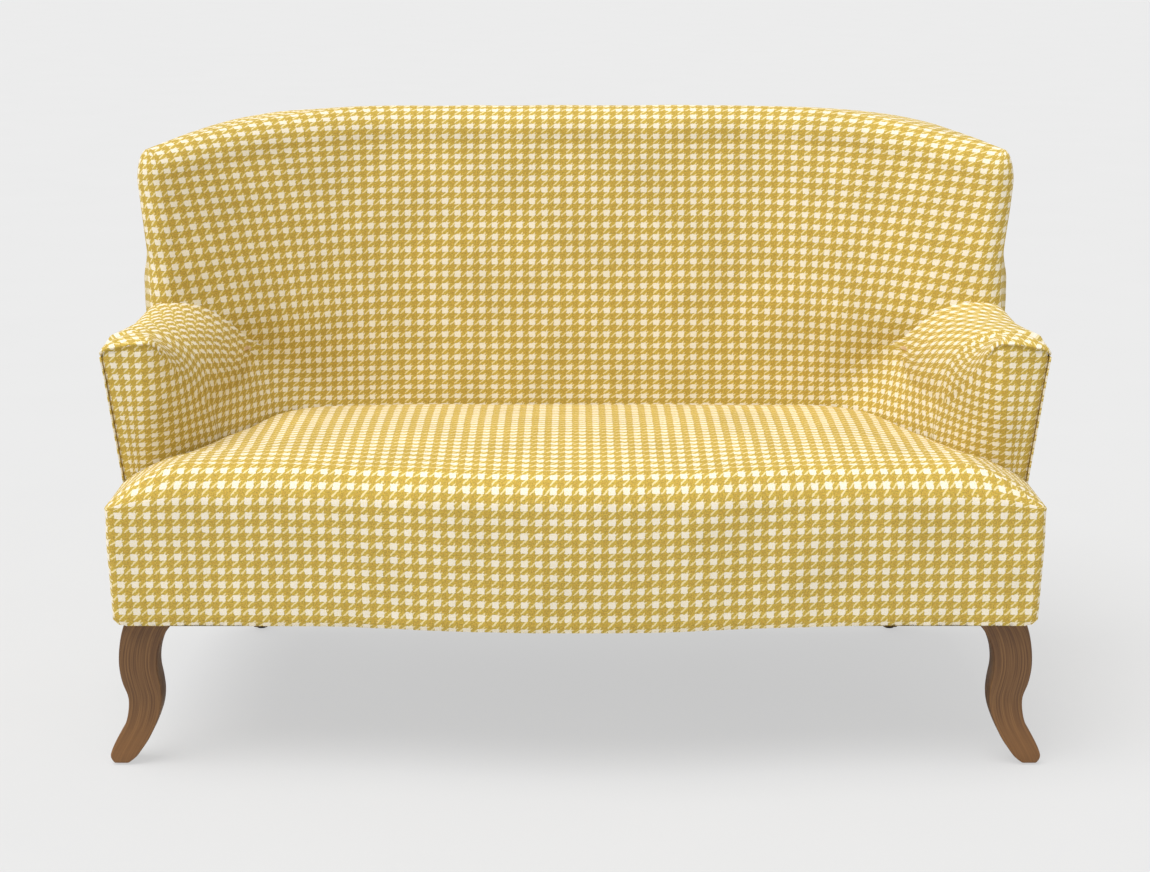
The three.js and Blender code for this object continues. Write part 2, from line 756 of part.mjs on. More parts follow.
function seatRows(inset, bottom) {
  const rows = [];
  for (let level = 0; level < seatWallShares.length + edgeSteps + domeShares.length; level += 1) {
    rows.push(bothHalves(seatRing.map((station) => seatPoint(station, level, inset, bottom))));
  }
  return rows;
}

// A level lid laid across a ring that is the same on both sides of the middle
function acrossRing(skin, ring, flip) {
  const last = ring.length / 2;
  const right = ring.slice(0, last + 1);
  const left = right.map((place, k) => ring[(ring.length - k) % ring.length]);
  skin.rows([right, left], false, flip);
}

const seatBottom = (station) => (station.zone === "rear" ? deck : hemHeight);

function seatSkin() {
  const outside = seatRows(0, seatBottom);
  const inside = seatRows(cloth, seatBottom);
  const skin = new Skin();
  const turned = leftHalf(outside[0]);
  skin.rows(outside, true, false, turned);
  skin.rows(inside, true, true, turned);
  skin.rows([inside[0], outside[0]], true);
  acrossRing(skin, outside.at(-1), false);
  acrossRing(skin, inside.at(-1), true);
  return skin.solid();
}

function seatBody(inset) {
  const rows = seatRows(inset, seatBottom);
  const skin = new Skin();
  skin.rows(rows, true, false, leftHalf(rows[0]));
  acrossRing(skin, rows[0], true);
  acrossRing(skin, rows.at(-1), false);
  return skin.solid();
}

// A board that follows the bowed front of the seat
function bowedBoard(front, depth, halfLength, low, high) {
  const side = bowShares.map((share) => share * Math.min(bowHalfLength, halfLength));
  const half = halfLength > bowHalfLength ? [...side, halfLength] : side;
  const places = [...half.slice(1).reverse().map((x) => -x), ...half];
  const ahead = places.map((x) => xy(x, front - bowAt(x)));
  const behind = places.map((x) => xy(x, front + depth - bowAt(x))).reverse();
  return prism([...ahead, ...behind], low, high);
}

// Plan of the base inside its covers: bowed front, straight sides and rounded back corners
function baseOutline(frontInset, sideInset) {
  const half = bowShares.map((share) => {
    const x = share * bowHalfLength;
    return xy(x, frontInset - bowAt(x));
  });
  const corner = xy(sideX(0, hemHeight) - sideInset, frontInset);
  const radius = Math.max(cloth, seatCornerRadius - frontInset);
  for (const share of filletShares) {
    half.push(cornerPoint(xy(0, corner.y), corner, xy(corner.x, farBack), radius, share));
  }
  const rear = stationShares.filter((share) => share >= cornerStartShare && share !== panelShare);
  half.push(...rear.reverse().map((share) => backOuter(share, hemHeight, sideInset)));
  const other = half.slice(1).reverse();
  return [...half, ...other.map((place) => xy(-place.x, place.y))];
}

// Rails round the base, the stretcher between them and the places they meet
const frontRailFront = wallGap + borderPadding + clearance;
const frontRailBack = frontRailFront + railThickness;
const rearRailFront = outsideBackY(hemHeight) - frameGap - railThickness;
const sideRailInner = sideX(0, hemHeight) - frameGap - railThickness;
const betweenRails = [frontRailBack + clearance, rearRailFront - clearance];
const baseSpace = prism(baseOutline(frontRailFront, frameGap), railBottom, railTop);
const frontBoard = bowedBoard(frontRailFront, railThickness, farSide, railBottom, railTop);
const frontRail = frontBoard.intersect(baseSpace);
const rearRail = slab(rearRailFront, farBack, railBottom, railTop).intersect(baseSpace);
const sideRail = block(sideRailInner, farSide, ...betweenRails, railBottom, railTop).intersect(baseSpace);
const stretcherTop = railBottom + stretcherHeight;
const stretcherHalf = stretcherWidth / 2;
const stretcher = block(-stretcherHalf, stretcherHalf, ...betweenRails, railBottom, stretcherTop);

// Legs: the front ones sawn to an S and bevelled, the rear ones tapered and raked
const legLow = glideThickness + clearance;
const legTop = hemHeight - clearance;
const legRear = legSetback + legThickness;

function frontLegSolid() {
  const rows = legShares.map((share, k) => {
    const z = lerp(legLow, legTop, share);
    const [x0, x1] = [legInnerEdge[k], legOuterEdge[k]];
    const corners = [
      [x0 + legBevel, legSetback],
      [x1 - legBevel, legSetback],
      [x1, legSetback + legBevel],
      [x1, legRear - legBevel],
      [x1 - legBevel, legRear],
      [x0 + legBevel, legRear],
      [x0, legRear - legBevel],
      [x0, legSetback + legBevel],
    ];
    return corners.map(([x, y]) => new THREE.Vector3(x, y, z));
  });
  return tubeOf(rows);
}

const frontBolt = xy(sideRailInner - frontBoltIn, frontRailBack + frontBoltBack);
const rearBolt = xy(sideRailInner - rearBoltIn, rearRailFront - rearBoltAhead);
const rearSole = xy(rearBolt.x - rearLegLean, rearBolt.y + rearLegKick);

function rearLegSolid() {
  const quarters = [Math.PI / 4, (Math.PI * 3) / 4, (Math.PI * 5) / 4, (Math.PI * 7) / 4];
  const rows = legLevels.map((share) => {
    const half = lerp(rearLegSole, rearLegTop, share) * Math.SQRT1_2;
    const centre = rearSole.clone().lerp(rearBolt, 1 - (1 - share) ** 2);
    const z = lerp(legLow, legTop, share);
    return quarters.map((turn) => {
      return new THREE.Vector3(centre.x + half * Math.cos(turn), centre.y + half * Math.sin(turn), z);
    });
  });
  return tubeOf(rows);
}

function rod(place, z0, z1, radius) {
  const geometry = new THREE.CylinderGeometry(radius, radius, z1 - z0, boltSides);
  geometry.rotateX(Math.PI / 2);
  geometry.translate(place.x, place.y, (z0 + z1) / 2);
  return solidOf(geometry);
}

const frontSole = xy((legInnerEdge[0] + legOuterEdge[0]) / 2, legRear - legThickness / 2);
const boltLow = legTop - boltBelow;
const boltHigh = railBottom + boltAbove;
const boltAt = (place, gap) => rod(place, boltLow - gap, boltHigh + gap, boltRadius + gap);
const frontBore = boltAt(frontBolt, clearance);
const rearBore = boltAt(rearBolt, clearance);

function cornerBlock(y, reach, bore) {
  const side = sideRailInner - clearance;
  const outline = [xy(side, y), xy(side, y + reach), xy(side - blockSize, y)];
  return prism(outline, railBottom, railBottom + blockHeight).subtract(bore);
}
const [insideFront, insideRear] = betweenRails;
const frontBlock = cornerBlock(insideFront, blockSize, frontBore);
const rearBlock = cornerBlock(insideRear, -blockSize, rearBore);

// Springs: each a wire in a flat zigzag across the seat, under the clip strips on the rails
const springAt = (k) => springPitch * (k - (springCount - 1) / 2);

function springSolid(x) {
  const z = railTop + clearance + springWire / 2;
  const start = frontRailBack - railThickness * stripEndShare - bowAt(x);
  const end = rearRailFront + railThickness * stripEndShare;
  const waveStart = frontRailBack + springEndRun - bowAt(x);
  const waveEnd = rearRailFront - springEndRun;
  const pitch = (waveEnd - waveStart) / (2 * springWaves);
  const bends = [new THREE.Vector3(x, start, z), new THREE.Vector3(x, waveStart, z)];
  for (let k = 0; k < 2 * springWaves; k += 1) {
    const side = k % 2 ? -springHalfWidth : springHalfWidth;
    for (const share of springBendShares) {
      bends.push(new THREE.Vector3(x + side, waveStart + pitch * (k + share), z));
    }
  }
  bends.push(new THREE.Vector3(x, waveEnd, z), new THREE.Vector3(x, end, z));
  const half = springWire / 2;
  const rows = bends.map((place, k) => {
    const into = place.clone().sub(bends[Math.max(0, k - 1)]).normalize();
    const out = bends[Math.min(bends.length - 1, k + 1)].clone().sub(place).normalize();
    const along = into.add(out).normalize();
    const across = new THREE.Vector3(along.y, -along.x, 0).multiplyScalar(half);
    const up = new THREE.Vector3(0, 0, half);
    const [left, right] = [place.clone().sub(across), place.clone().add(across)];
    return [left.clone().sub(up), right.clone().sub(up), right.clone().add(up), left.clone().add(up)];
  });
  return tubeOf(rows);
}

// Clip strips, the cloth over the springs and the dust cover under the base
const stripReach = springAt(springCount - 1) + springHalfWidth + stripWidth;
const stripTop = stripBottom + stripThickness;
const stripFront = frontRailBack - (railThickness + stripWidth) / 2;
const frontStrip = bowedBoard(stripFront, stripWidth, stripReach, stripBottom, stripTop);
const rearStripFront = rearRailFront + (railThickness - stripWidth) / 2;
const rearStripBack = rearStripFront + stripWidth;
const rearStrip = block(-stripReach, stripReach, rearStripFront, rearStripBack, stripBottom, stripTop);
const postOuter = seatHalfWidth - postInset;
const postInner = postOuter - postThickness;
const clothHalf = postInner - clearance;
const platform = prism(
  baseOutline(frontRailFront + hessianMargin, frameGap + hessianMargin),
  hessianBottom,
  hessianBottom + hessianThickness,
).intersect(block(-clothHalf, clothHalf, -farBack, farBack, stripTop, deck));
const dustBores = bothSides(frontBore.add(rearBore));
const dustSheet = prism(
  baseOutline(frontRailFront, wallGap + dustMargin),
  hemHeight,
  hemHeight + dustThickness,
).subtract(dustBores);

// Members of the back, cut from the room inside its padding
const aboveRails = railTop + clearance;
const backShape = backBody(frameGap, aboveRails);
const backSpace = backRoom(clearance, 0).intersect(backShape);
const webbed = clearance + webThickness + clearance;
const behindWeb = backRoom(webbed, 0).intersect(backShape);
const acrossFrom = (x0, x1) => block(x0, x1, -farBack, farBack, 0, farTop);
const belowCrest = (lowered) => backRoom(-borderPadding, borderPadding + clearance + lowered);
const crestRail = behindWeb
  .subtract(belowCrest(crestRailHeight))
  .intersect(acrossFrom(-crestRailHalf, crestRailHalf));
const wingRail = backSpace
  .subtract(belowCrest(wingRailHeight))
  .intersect(acrossFrom(crestRailHalf + clearance, farSide));
const postRear = rearRailFront - clearance;
const backPost = backSpace
  .intersect(acrossFrom(postInner, postOuter))
  .intersect(belowCrest(crestRailHeight + clearance))
  .intersect(slab(0, farBack, aboveRails, farTop))
  .add(block(postInner, postOuter, postRear - postFootDepth, postRear, railBottom, deck));
const tackLow = deck + tackRailLift;
const backTackRail = behindWeb
  .subtract(backRoom(webbed + tackRailThickness, 0))
  .intersect(block(-clothHalf, clothHalf, 0, farBack, tackLow, tackLow + tackRailHeight));
const wingPost = backSpace
  .subtract(backRoom(clearance + wingPostDepth, 0))
  .intersect(belowCrest(wingRailHeight + clearance))
  .intersect(acrossFrom(seatHalfWidth - frameGap - wingPostThickness, farSide));
const webAt = (k) => webPitch * (k - (webCount - 1) / 2);
const webSpace = backSpace.subtract(backRoom(clearance + webThickness, 0));
const webTop = crestHeight - crestRounding;
function webbing(x) {
  return webSpace.intersect(block(x - webWidth / 2, x + webWidth / 2, 0, farBack, tackLow, webTop));
}

// Members of the arm, cut from the room inside its padding
const padded = { face: wallGap + armPadding, side: frameGap };
const deeper = (extra) => ({ face: padded.face + extra, side: padded.side });
const armSpace = armBody(deeper(clearance), aboveRails);
const backRoomHere = backRoom(0, 0);
const boardLow = armSeamHeight - armPadding - armBoardThickness;
const boardBand = (gap) => slab(0, farBack, boardLow - gap, boardLow + armBoardThickness + gap);
const armBoard = armSpace.intersect(boardBand(0)).subtract(backRoomHere);
const armPostFront = armFront + padded.face + clearance;
const armPostBack = armPostFront + armPostThickness;
const armPost = armSpace.intersect(slab(armPostFront, armPostBack, 0, boardLow - clearance));
const tackShell = (gap) => {
  const outer = armBody(deeper(clearance - gap), aboveRails);
  const inner = { face: padded.face + clearance + armTackThickness + gap, side: -overrun };
  return outer.subtract(armBody(inner, 0));
};
const armTackBand = (gap) => slab(0, farBack, deck - gap, deck + armTackHeight + gap);
const behindArmPost = slab(armPostBack + clearance, farBack, 0, farTop);
const armTackSpace = armTackBand(0).intersect(behindArmPost).subtract(backRoomHere);
const armTack = mainPiece(tackShell(0).intersect(armTackSpace));
const cutGap = 2 * clearance;
const boardRoom = { face: padded.face - clearance, side: -overrun };
const boardCut = armBody(boardRoom, aboveRails).intersect(boardBand(cutGap));
const railCuts = bothSides(boardCut.add(tackShell(cutGap).intersect(armTackBand(cutGap))));

// Covers and padding of the back: the cover has no wall behind, and none where the arms hide it
const backGrid = (inset) => backRows(inset, () => deck);
const backCells = backGrid(0)[0].length;
function keepBack(level, column) {
  const station = Math.min(column, backCells - 1 - column);
  if (station < noseStart) return true;
  const low = station < noseEnd ? backWallShares.indexOf(noseWallShare) : backWallShares.length - 1;
  return level >= low;
}
const backSheet = sheetOf(backGrid(0), backGrid(cloth), {
  wrap: true,
  folded: true,
  keep: keepBack,
  turned: leftHalf(backGrid(0)[0]),
});
const backCover = mainPiece(backSheet.subtract(railCuts));
const backFoam = mainPiece(backBody(wallGap, deck).subtract(backRoomHere).subtract(railCuts));

// Covers and padding of the arms, cut off where they run into the back. The cover ends at the
// seam along the arm's outer side, and at the seat's height on its outer corner.
const armCornerLow = lerp(deck, armSeamHeight, armWallShares[1]);
const armGrid = (inset) => armRows(evenly(inset), () => deck);
function keepArm(level, column) {
  const zone = armRing[column].zone;
  if (armRing[column + 1].zone === "outer") return level >= armWallShares.length - 1;
  return zone !== "corner" || level >= 1;
}
const armCut = behindBack(softGap);
const armSheet = sheetOf(armGrid(0), armGrid(cloth), { folded: true, keep: keepArm });
const armCover = mainPiece(armSheet.subtract(armCut));
const armRoom = armBody({ face: padded.face, side: -overrun }, 0);
const armFoam = mainPiece(armBody(evenly(wallGap), deck).subtract(armRoom).subtract(armCut));

// Cover and padding of the seat
const seatCover = seatSkin();
const seatHollow = bowedBoard(wallGap + borderPadding, farBack, farSide, 0, deck);
const seatFoam = mainPiece(seatBody(wallGap).subtract(seatHollow));

// Outside covers: the back between its corners, and each side from the arm's front round the corner
const seamRow = backWallShares.indexOf(noseWallShare) + 1;
const panelLevels = [...Array(backWallShares.length + 1).keys()];

function rearPanelPlace(share, level, inset, moved = 0) {
  const spring = ridgeHeight(share) - lerp(crestRounding, wingRounding, share ** 2);
  const low = [hemHeight, deck];
  const top = level === seamRow + 2 ? softGap : 0;
  const z = level < low.length ? low[level] : lerp(deck, spring, backWallShares[level - 1]) - top;
  const place = backOuter(share + moved, z, inset);
  return new THREE.Vector3(place.x, place.y, z);
}

function sidePanelPlace(y, level, inset) {
  const seam = armSeamAt(y) - clearance;
  const middle = lerp(deck, armSeamHeight, armWallShares[2]);
  const z = [hemHeight, deck, armCornerLow - clearance, middle, seam][Math.min(level, seamRow)];
  return new THREE.Vector3(sideX(y, z) - inset, y, z);
}

function backPanelRows(inset) {
  const shares = stationShares.filter((share) => share <= panelShare).reverse();
  return panelLevels.map((level) => {
    const half = shares.map((share) => rearPanelPlace(share, level, inset));
    return [...half, ...half.slice(0, -1).reverse().map(mirroredPlace)];
  });
}
const mirroredPlace = (place) => place.clone().multiply(new THREE.Vector3(-1, 1, 1));
const backPanelGrid = backPanelRows(0);
const whole = () => true;
const backPanel = sheetOf(backPanelGrid, backPanelRows(cloth), {
  keep: whole,
  turned: leftHalf(backPanelGrid[0]),
});

const sideShares = stationShares.filter((share) => share >= panelShare);
const sideStops = [
  ...armStopsFront,
  armRidgeStart,
  armFront + armCornerRadius + clearance,
  armFront + softGap,
];

function sidePanelRows(inset) {
  const movedAt = (share) => (share === panelShare ? cornerSeamShare : -noseSeamShare * (share === 1));
  return panelLevels.map((level) => {
    const rear = sideShares.map((share) => rearPanelPlace(share, level, inset, movedAt(share)));
    return [...rear, ...sideStops.map((y) => sidePanelPlace(y, level, inset))];
  });
}
function keepSide(level, column) {
  if (column < sideShares.length - 1) return true;
  const frontEdge = column === sideShares.length + sideStops.length - 2;
  return level < (frontEdge ? seamRow - 2 : seamRow);
}
const sidePanel = sheetOf(sidePanelRows(0), sidePanelRows(cloth), { keep: keepSide, turned: whole });

// Materials, in the colours the settee has
function material(color, roughness, metalness) {
  return new THREE.MeshStandardMaterial({ color, roughness, metalness });
}
const coverCloth = material(0xd9bd7c, 0.95, 0);
const foam = material(0xf2ead0, 1, 0);
const frameTimber = material(0xc9a679, 0.8, 0);
const legTimber = material(0x6b4c33, 0.55, 0);
const steel = material(0x8d9094, 0.4, 0.9);
const darkSheet = material(0x2b2a2a, 1, 0);
const jute = material(0xa98c5e, 1, 0);
const glideStuff = material(0x3a3634, 0.6, 0);

const settee = new THREE.Group();
function addPiece(name, solid, look) {
  const mesh = new THREE.Mesh(geometryOf(mainPiece(solid)), look.clone());
  mesh.name = name;
  settee.add(mesh);
}
function addPair(name, solid, look) {
  addPiece("right_" + name, solid, look);
  addPiece("left_" + name, mirrored(solid), look);
}

addPiece("seat_cover", seatCover, coverCloth);
addPiece("inside_back_cover", backCover, coverCloth);
addPair("arm_cover", armCover, coverCloth);
addPiece("outside_back_cover", backPanel, coverCloth);
addPair("outside_side_cover", sidePanel, coverCloth);
addPiece("dust_cover", dustSheet, darkSheet);
addPiece("seat_foam", seatFoam, foam);
addPiece("back_foam", backFoam, foam);
addPair("arm_foam", armFoam, foam);

addPair("front_leg", frontLegSolid().subtract(frontBore), legTimber);
addPair("rear_leg", rearLegSolid().subtract(rearBore), legTimber);
addPair("front_glide", rod(frontSole, 0, glideThickness, glideRadius), glideStuff);
addPair("rear_glide", rod(rearSole, 0, glideThickness, glideRadius), glideStuff);
addPair("front_leg_bolt", boltAt(frontBolt, 0), steel);
addPair("rear_leg_bolt", boltAt(rearBolt, 0), steel);

addPiece("front_seat_rail", frontRail, frameTimber);
addPiece("rear_seat_rail", rearRail, frameTimber);
addPair("side_rail", sideRail, frameTimber);
addPiece("seat_stretcher", stretcher, frameTimber);
addPair("front_corner_block", frontBlock, frameTimber);
addPair("rear_corner_block", rearBlock, frameTimber);
addPair("back_post", backPost, frameTimber);
addPiece("crest_rail", crestRail, frameTimber);
addPiece("back_tack_rail", backTackRail, frameTimber);
addPair("wing_post", wingPost, frameTimber);
addPair("wing_top_rail", wingRail, frameTimber);
addPair("arm_board", armBoard, frameTimber);
addPair("arm_front_post", armPost, frameTimber);
addPair("arm_tack_rail", armTack, frameTimber);

for (let k = 0; k < springCount; k += 1) {
  addPiece("seat_spring_" + (k + 1), springSolid(springAt(k)), steel);
}
addPiece("front_spring_strip", frontStrip, steel);
addPiece("rear_spring_strip", rearStrip, steel);
addPiece("platform_cloth", platform, jute);
for (let k = 0; k < webCount; k += 1) {
  addPiece("back_webbing_" + (k + 1), webbing(webAt(k)), jute);
}

settee.position.y = (frontBow - outsideBackY(crestRidgeSpring)) / 2;

export default settee;
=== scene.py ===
import json
from math import acos, atan, atan2, ceil, cos, hypot, pi, radians, sin, sqrt, tan

import bmesh
import bpy
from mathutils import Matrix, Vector, noise


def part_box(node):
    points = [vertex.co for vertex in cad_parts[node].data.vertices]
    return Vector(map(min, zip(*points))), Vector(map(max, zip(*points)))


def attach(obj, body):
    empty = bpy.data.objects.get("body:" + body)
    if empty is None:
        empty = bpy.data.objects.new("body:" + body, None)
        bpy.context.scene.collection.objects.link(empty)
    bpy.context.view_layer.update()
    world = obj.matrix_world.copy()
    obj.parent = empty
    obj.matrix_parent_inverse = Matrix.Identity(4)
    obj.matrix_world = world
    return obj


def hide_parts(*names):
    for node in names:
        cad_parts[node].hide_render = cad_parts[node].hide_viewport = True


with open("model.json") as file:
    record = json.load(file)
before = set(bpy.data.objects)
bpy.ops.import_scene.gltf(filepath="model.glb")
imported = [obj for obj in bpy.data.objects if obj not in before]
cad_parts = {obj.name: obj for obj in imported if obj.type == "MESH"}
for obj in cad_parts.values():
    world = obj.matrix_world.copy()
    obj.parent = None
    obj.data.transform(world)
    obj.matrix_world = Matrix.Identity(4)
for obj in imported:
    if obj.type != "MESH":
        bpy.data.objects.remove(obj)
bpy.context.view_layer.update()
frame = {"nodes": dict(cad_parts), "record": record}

# High back settee covered in a woven check. Lengths are metres. y is measured back from the
# plane of the seat's front corners while shapes are worked out, and moved by frontPlane at the end.
seat = {
    "hem": 0.237, "half": 0.7215, "depth": 0.572, "top": 0.475, "rearTop": 0.458, "armTop": 0.463,
    "crown": 0.488, "spineHalf": 0.435, "spineBack": 0.125, "edge": 0.05, "sideRun": 0.12,
    "spring": 0.423, "rearEdge": 0.014, "bow": 0.038, "bowHalf": 0.5, "corner": 0.016,
    "sideEnd": 0.155, "returnCorner": 0.006, "draw": 0.0045, "drawTop": 0.36, "low": 0.345,
    "gap": 0.001, "seamSink": 0.001,
}
seatSteps = {
    "bow": 64, "front": 30, "corner": 12, "side": 12, "return": 5, "nose": 16, "arm": 44,
    "rear": 40, "wall": 24, "edge": 10, "top": 26, "spine": 36,
}
arm = {
    "front": 0.165, "innerFront": 0.635, "innerRear": 0.492, "noseRun": 0.15, "noseReach": 0.058,
    "fillet": 0.13, "highFillet": 0.08, "filletSpan": (0.46, 0.58), "leanFrom": 0.455,
    "leanTo": 0.6, "lean": 0.6, "corner": 0.016, "ridge": 0.65667, "seam": 0.62667,
    "seamRise": 0.02, "ridgeRise": 0.015, "ridgeInset": 0.023, "ridgeTaper": 0.017,
    "ridgeStart": 0.227, "ridgeBend": 0.47, "end": 0.612, "behind": 0.05, "shoulder": 0.135,
    "rearShoulder": 0.1, "hollow": 1.5, "frontDrop": 0.009, "cornerDrop": 0.016,
    "flare": 0.0285, "flareFrom": 0.407, "flareFall": 0.05, "flareHold": 0.19, "flareEnd": 0.32,
    "boardHold": 0.36, "boardEnd": 0.44, "boardSpan": (0.6, 0.64), "low": 0.345,
    "rowRise": 0.0265, "bend": 0.4, "pleat": 0.0035, "overhang": 0.0028,
}
armSteps = {"wall": 24, "roof": 15, "fillet": 22, "line": 26, "nose": 26, "front": 9, "corner": 7}
back = {
    "crest": 0.966, "wing": 0.9152, "flatHalf": 0.34, "fall": 2.04, "crestRound": 0.0544,
    "wingRound": 0.0527, "thick": 0.105, "foot": 0.128, "rake": 0.249, "sweep": 0.23,
    "sweepLow": 0.1, "sweepStart": 0.25, "sweepSpan": (0.47, 0.64), "nose": 0.028,
    "ridgeInset": 0.0525, "wingRidgeInset": 0.0421, "wingFlare": 0.0217, "flareTop": 0.013,
    "flareRun": 0.17, "wingSwell": 0.0026, "swellSpan": (0.6, 0.7), "rearDrop": 0.008,
    "cornerInset": 0.02, "corner": 0.045, "cornerShares": (0.63, 0.87), "low": 0.345, "tuck": 0.004,
}
post = {  # the side is fuller where it lies over the wing post
    "swell": 0.0075, "front": (0.43, 0.46), "rear": (0.64, 0.6), "low": (0.5, 0.56),
    "high": (0.76, 0.7),
}
sweepRun = seat["half"] - back["sweepStart"]
springTop = back["crest"] - back["crestRound"]
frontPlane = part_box("seat_cover")[0].y + seat["bow"]

def between(value, low, high):
    return min(1.0, max(0.0, (value - low) / (high - low)))

def ease(share):
    return share * share * (3 - 2 * share)

def lerp(a, b, share):
    return a + (b - a) * share

def spread(count, start=0.0, end=1.0):
    return [lerp(start, end, k / (count - 1)) for k in range(count)]

def flat(x, y):
    return Vector((x, y))

def lift(place, z):
    return Vector((place.x, place.y, z))

def swing(way, turn):
    return flat(way.x * cos(turn) - way.y * sin(turn), way.x * sin(turn) + way.y * cos(turn))

def turnTo(start, end):
    return atan2(start.x * end.y - start.y * end.x, start.dot(end))

def sideX(y, z):  # outer side: drawn in at the hem, flared at the arm's roll and the wing's top
    draw = seat["draw"] * (1 - between(z, seat["hem"], seat["drawTop"]))
    low = 1 - between(z, *arm["boardSpan"])  # here the flare lasts as far back as the arm board
    along = 1 - between(y, lerp(arm["flareHold"], arm["boardHold"], low),
                        lerp(arm["flareEnd"], arm["boardEnd"], low))
    fallFrom = arm["seam"] + arm["seamRise"]
    rise = between(z, arm["flareFrom"], arm["seam"])
    fall = 1 - between(z, fallFrom, fallFrom + arm["flareFall"])
    wingTop = back["wing"] - back["flareTop"]
    wing = (back["wingSwell"] * between(z, *back["swellSpan"])
            + back["wingFlare"] * between(z, wingTop - back["flareRun"], wingTop))
    return seat["half"] - draw + arm["flare"] * ease(along) * min(rise, fall) + wing

def sweepAt(z):
    return lerp(back["sweepLow"], back["sweep"], ease(between(z, *back["sweepSpan"])))

def sweepShare(x):
    return max(0.0, abs(x) - back["sweepStart"]) / sweepRun

def insideBackY(x, z):
    raked = seat["depth"] + back["rake"] * (z - seat["rearTop"])
    return raked - sweepAt(z) * sweepShare(x) ** 2

def sweepSlope(x, z):
    return 2 * sweepAt(z) * sweepShare(x) / sweepRun

def offBack(x, z, inset):  # square to the back's face at x, behind it or, below zero, in front
    slope = sweepSlope(x, z)
    lean = hypot(1, slope)
    return flat(x + inset * slope / lean, insideBackY(x, z) + inset / lean)

def outsideBackY(z):
    top = insideBackY(0, springTop) + back["thick"]
    share = (z - seat["hem"]) / (springTop - seat["hem"])
    return lerp(seat["depth"] + back["foot"], top, share)

def cornerPoint(before, corner, after, radius, share):  # along the arc that rounds a corner
    toStart = (before - corner).normalized()
    toEnd = (after - corner).normalized()
    half = acos(toStart.dot(toEnd)) / 2
    centre = corner + (toStart + toEnd).normalized() * (radius / sin(half))
    start = corner + toStart * (radius / tan(half)) - centre
    end = corner + toEnd * (radius / tan(half)) - centre
    return centre + swing(start, turnTo(start, end) * share)

# Every cover carries a UV layer in metres of cloth, so that one weave fits them all
def newPiece(name, verts, faces, uvs):
    mesh = bpy.data.meshes.new(name)
    mesh.from_pydata([tuple(p) for p in verts], [], faces)
    layer = mesh.uv_layers.new(name="cloth")
    layer.data.foreach_set("uv", [value for face in uvs for corner in face for value in corner])
    obj = bpy.data.objects.new(name, mesh)
    bpy.context.scene.collection.objects.link(obj)
    return obj

def gridMesh(name, rows, weaves, closedRing=False, extra=(), other=None):
    # rows of points with a matching grid of cloth positions; extra adds faces to close the body,
    # and other names the columns that take a second grid of cloth positions beyond a seam
    count = len(rows[0])
    verts = [p for row in rows for p in row]
    otherColumns, otherWeaves = other or ((), weaves)
    faces, uvs = [], []
    for j in range(len(rows) - 1):
        for i in range(count if closedRing else count - 1):
            n = (i + 1) % count
            m = i + 1
            grid = otherWeaves if i in otherColumns else weaves
            faces.append((j * count + i, j * count + n, (j + 1) * count + n, (j + 1) * count + i))
            uvs.append((grid[j][i], grid[j][m], grid[j + 1][m], grid[j + 1][i]))
    for face in extra:
        faces.append(face)
        uvs.append(tuple((verts[k].x, verts[k].y) for k in face))
    return newPiece(name, verts, faces, uvs)

def closeUp(obj):
    bm = bmesh.new()
    bm.from_mesh(obj.data)
    bmesh.ops.remove_doubles(bm, verts=bm.verts, dist=0.00005)
    bmesh.ops.dissolve_degenerate(bm, edges=bm.edges, dist=0.00002)
    holes = [e for e in bm.edges if e.is_boundary]
    if holes:
        bmesh.ops.holes_fill(bm, edges=holes, sides=0)
        bmesh.ops.triangulate(bm, faces=[f for f in bm.faces if len(f.verts) > 4])
    bmesh.ops.recalc_face_normals(bm, faces=bm.faces)
    bm.to_mesh(obj.data)
    bm.free()
    obj.data.polygons.foreach_set("use_smooth", [True] * len(obj.data.polygons))

def soften(obj):  # small hollows and swells of tight padding, moved along the normals
    mesh = obj.data
    normals = [v.normal.copy() for v in mesh.vertices]
    for vertex, normal in zip(mesh.vertices, normals):
        p = vertex.co
        wide = noise.noise(p * 7.0 + Vector((3.1, 0.7, 5.2)))
        fine = noise.noise(p * 21.0 + Vector((9.4, 2.2, 1.3)))
        vertex.co = p + normal * (0.0016 * wide + 0.0006 * fine)

def mirrored(point):
    return Vector((-point.x, point.y, point.z))

def moveToFrame(obj):
    for vertex in obj.data.vertices:
        vertex.co.y += frontPlane
    obj.data.update()

def mirrorOf(obj, name):
    other = bpy.data.objects.new(name, obj.data.copy())
    mesh = other.data
    mesh.name = name
    bpy.context.scene.collection.objects.link(other)
    for vertex in mesh.vertices:
        vertex.co.x *= -1
    mesh.flip_normals()
    if "cloth" in mesh.uv_layers:
        for loop in mesh.uv_layers["cloth"].data:
            loop.uv.x *= -1
    return other

# Back and wings
def wingNose(z):
    outer = sideX(seat["depth"], z) - back["nose"]
    angle = atan(sweepSlope(outer - back["nose"] * sqrt(0.5), z))
    touch = outer - back["nose"] * sin(angle)
    centre = flat(outer, insideBackY(touch, z) + back["nose"] * cos(angle))
    return angle, touch, centre

def backInner(share, z, inset=0.0):
    return offBack(wingNose(z)[1] * share, z, inset)

def backNose(share, z, inset=0.0):
    angle, touch, centre = wingNose(z)
    turn = (1 - share) * (pi / 2 + angle)
    radius = back["nose"] - inset
    return centre + flat(radius * cos(turn), -radius * sin(turn))

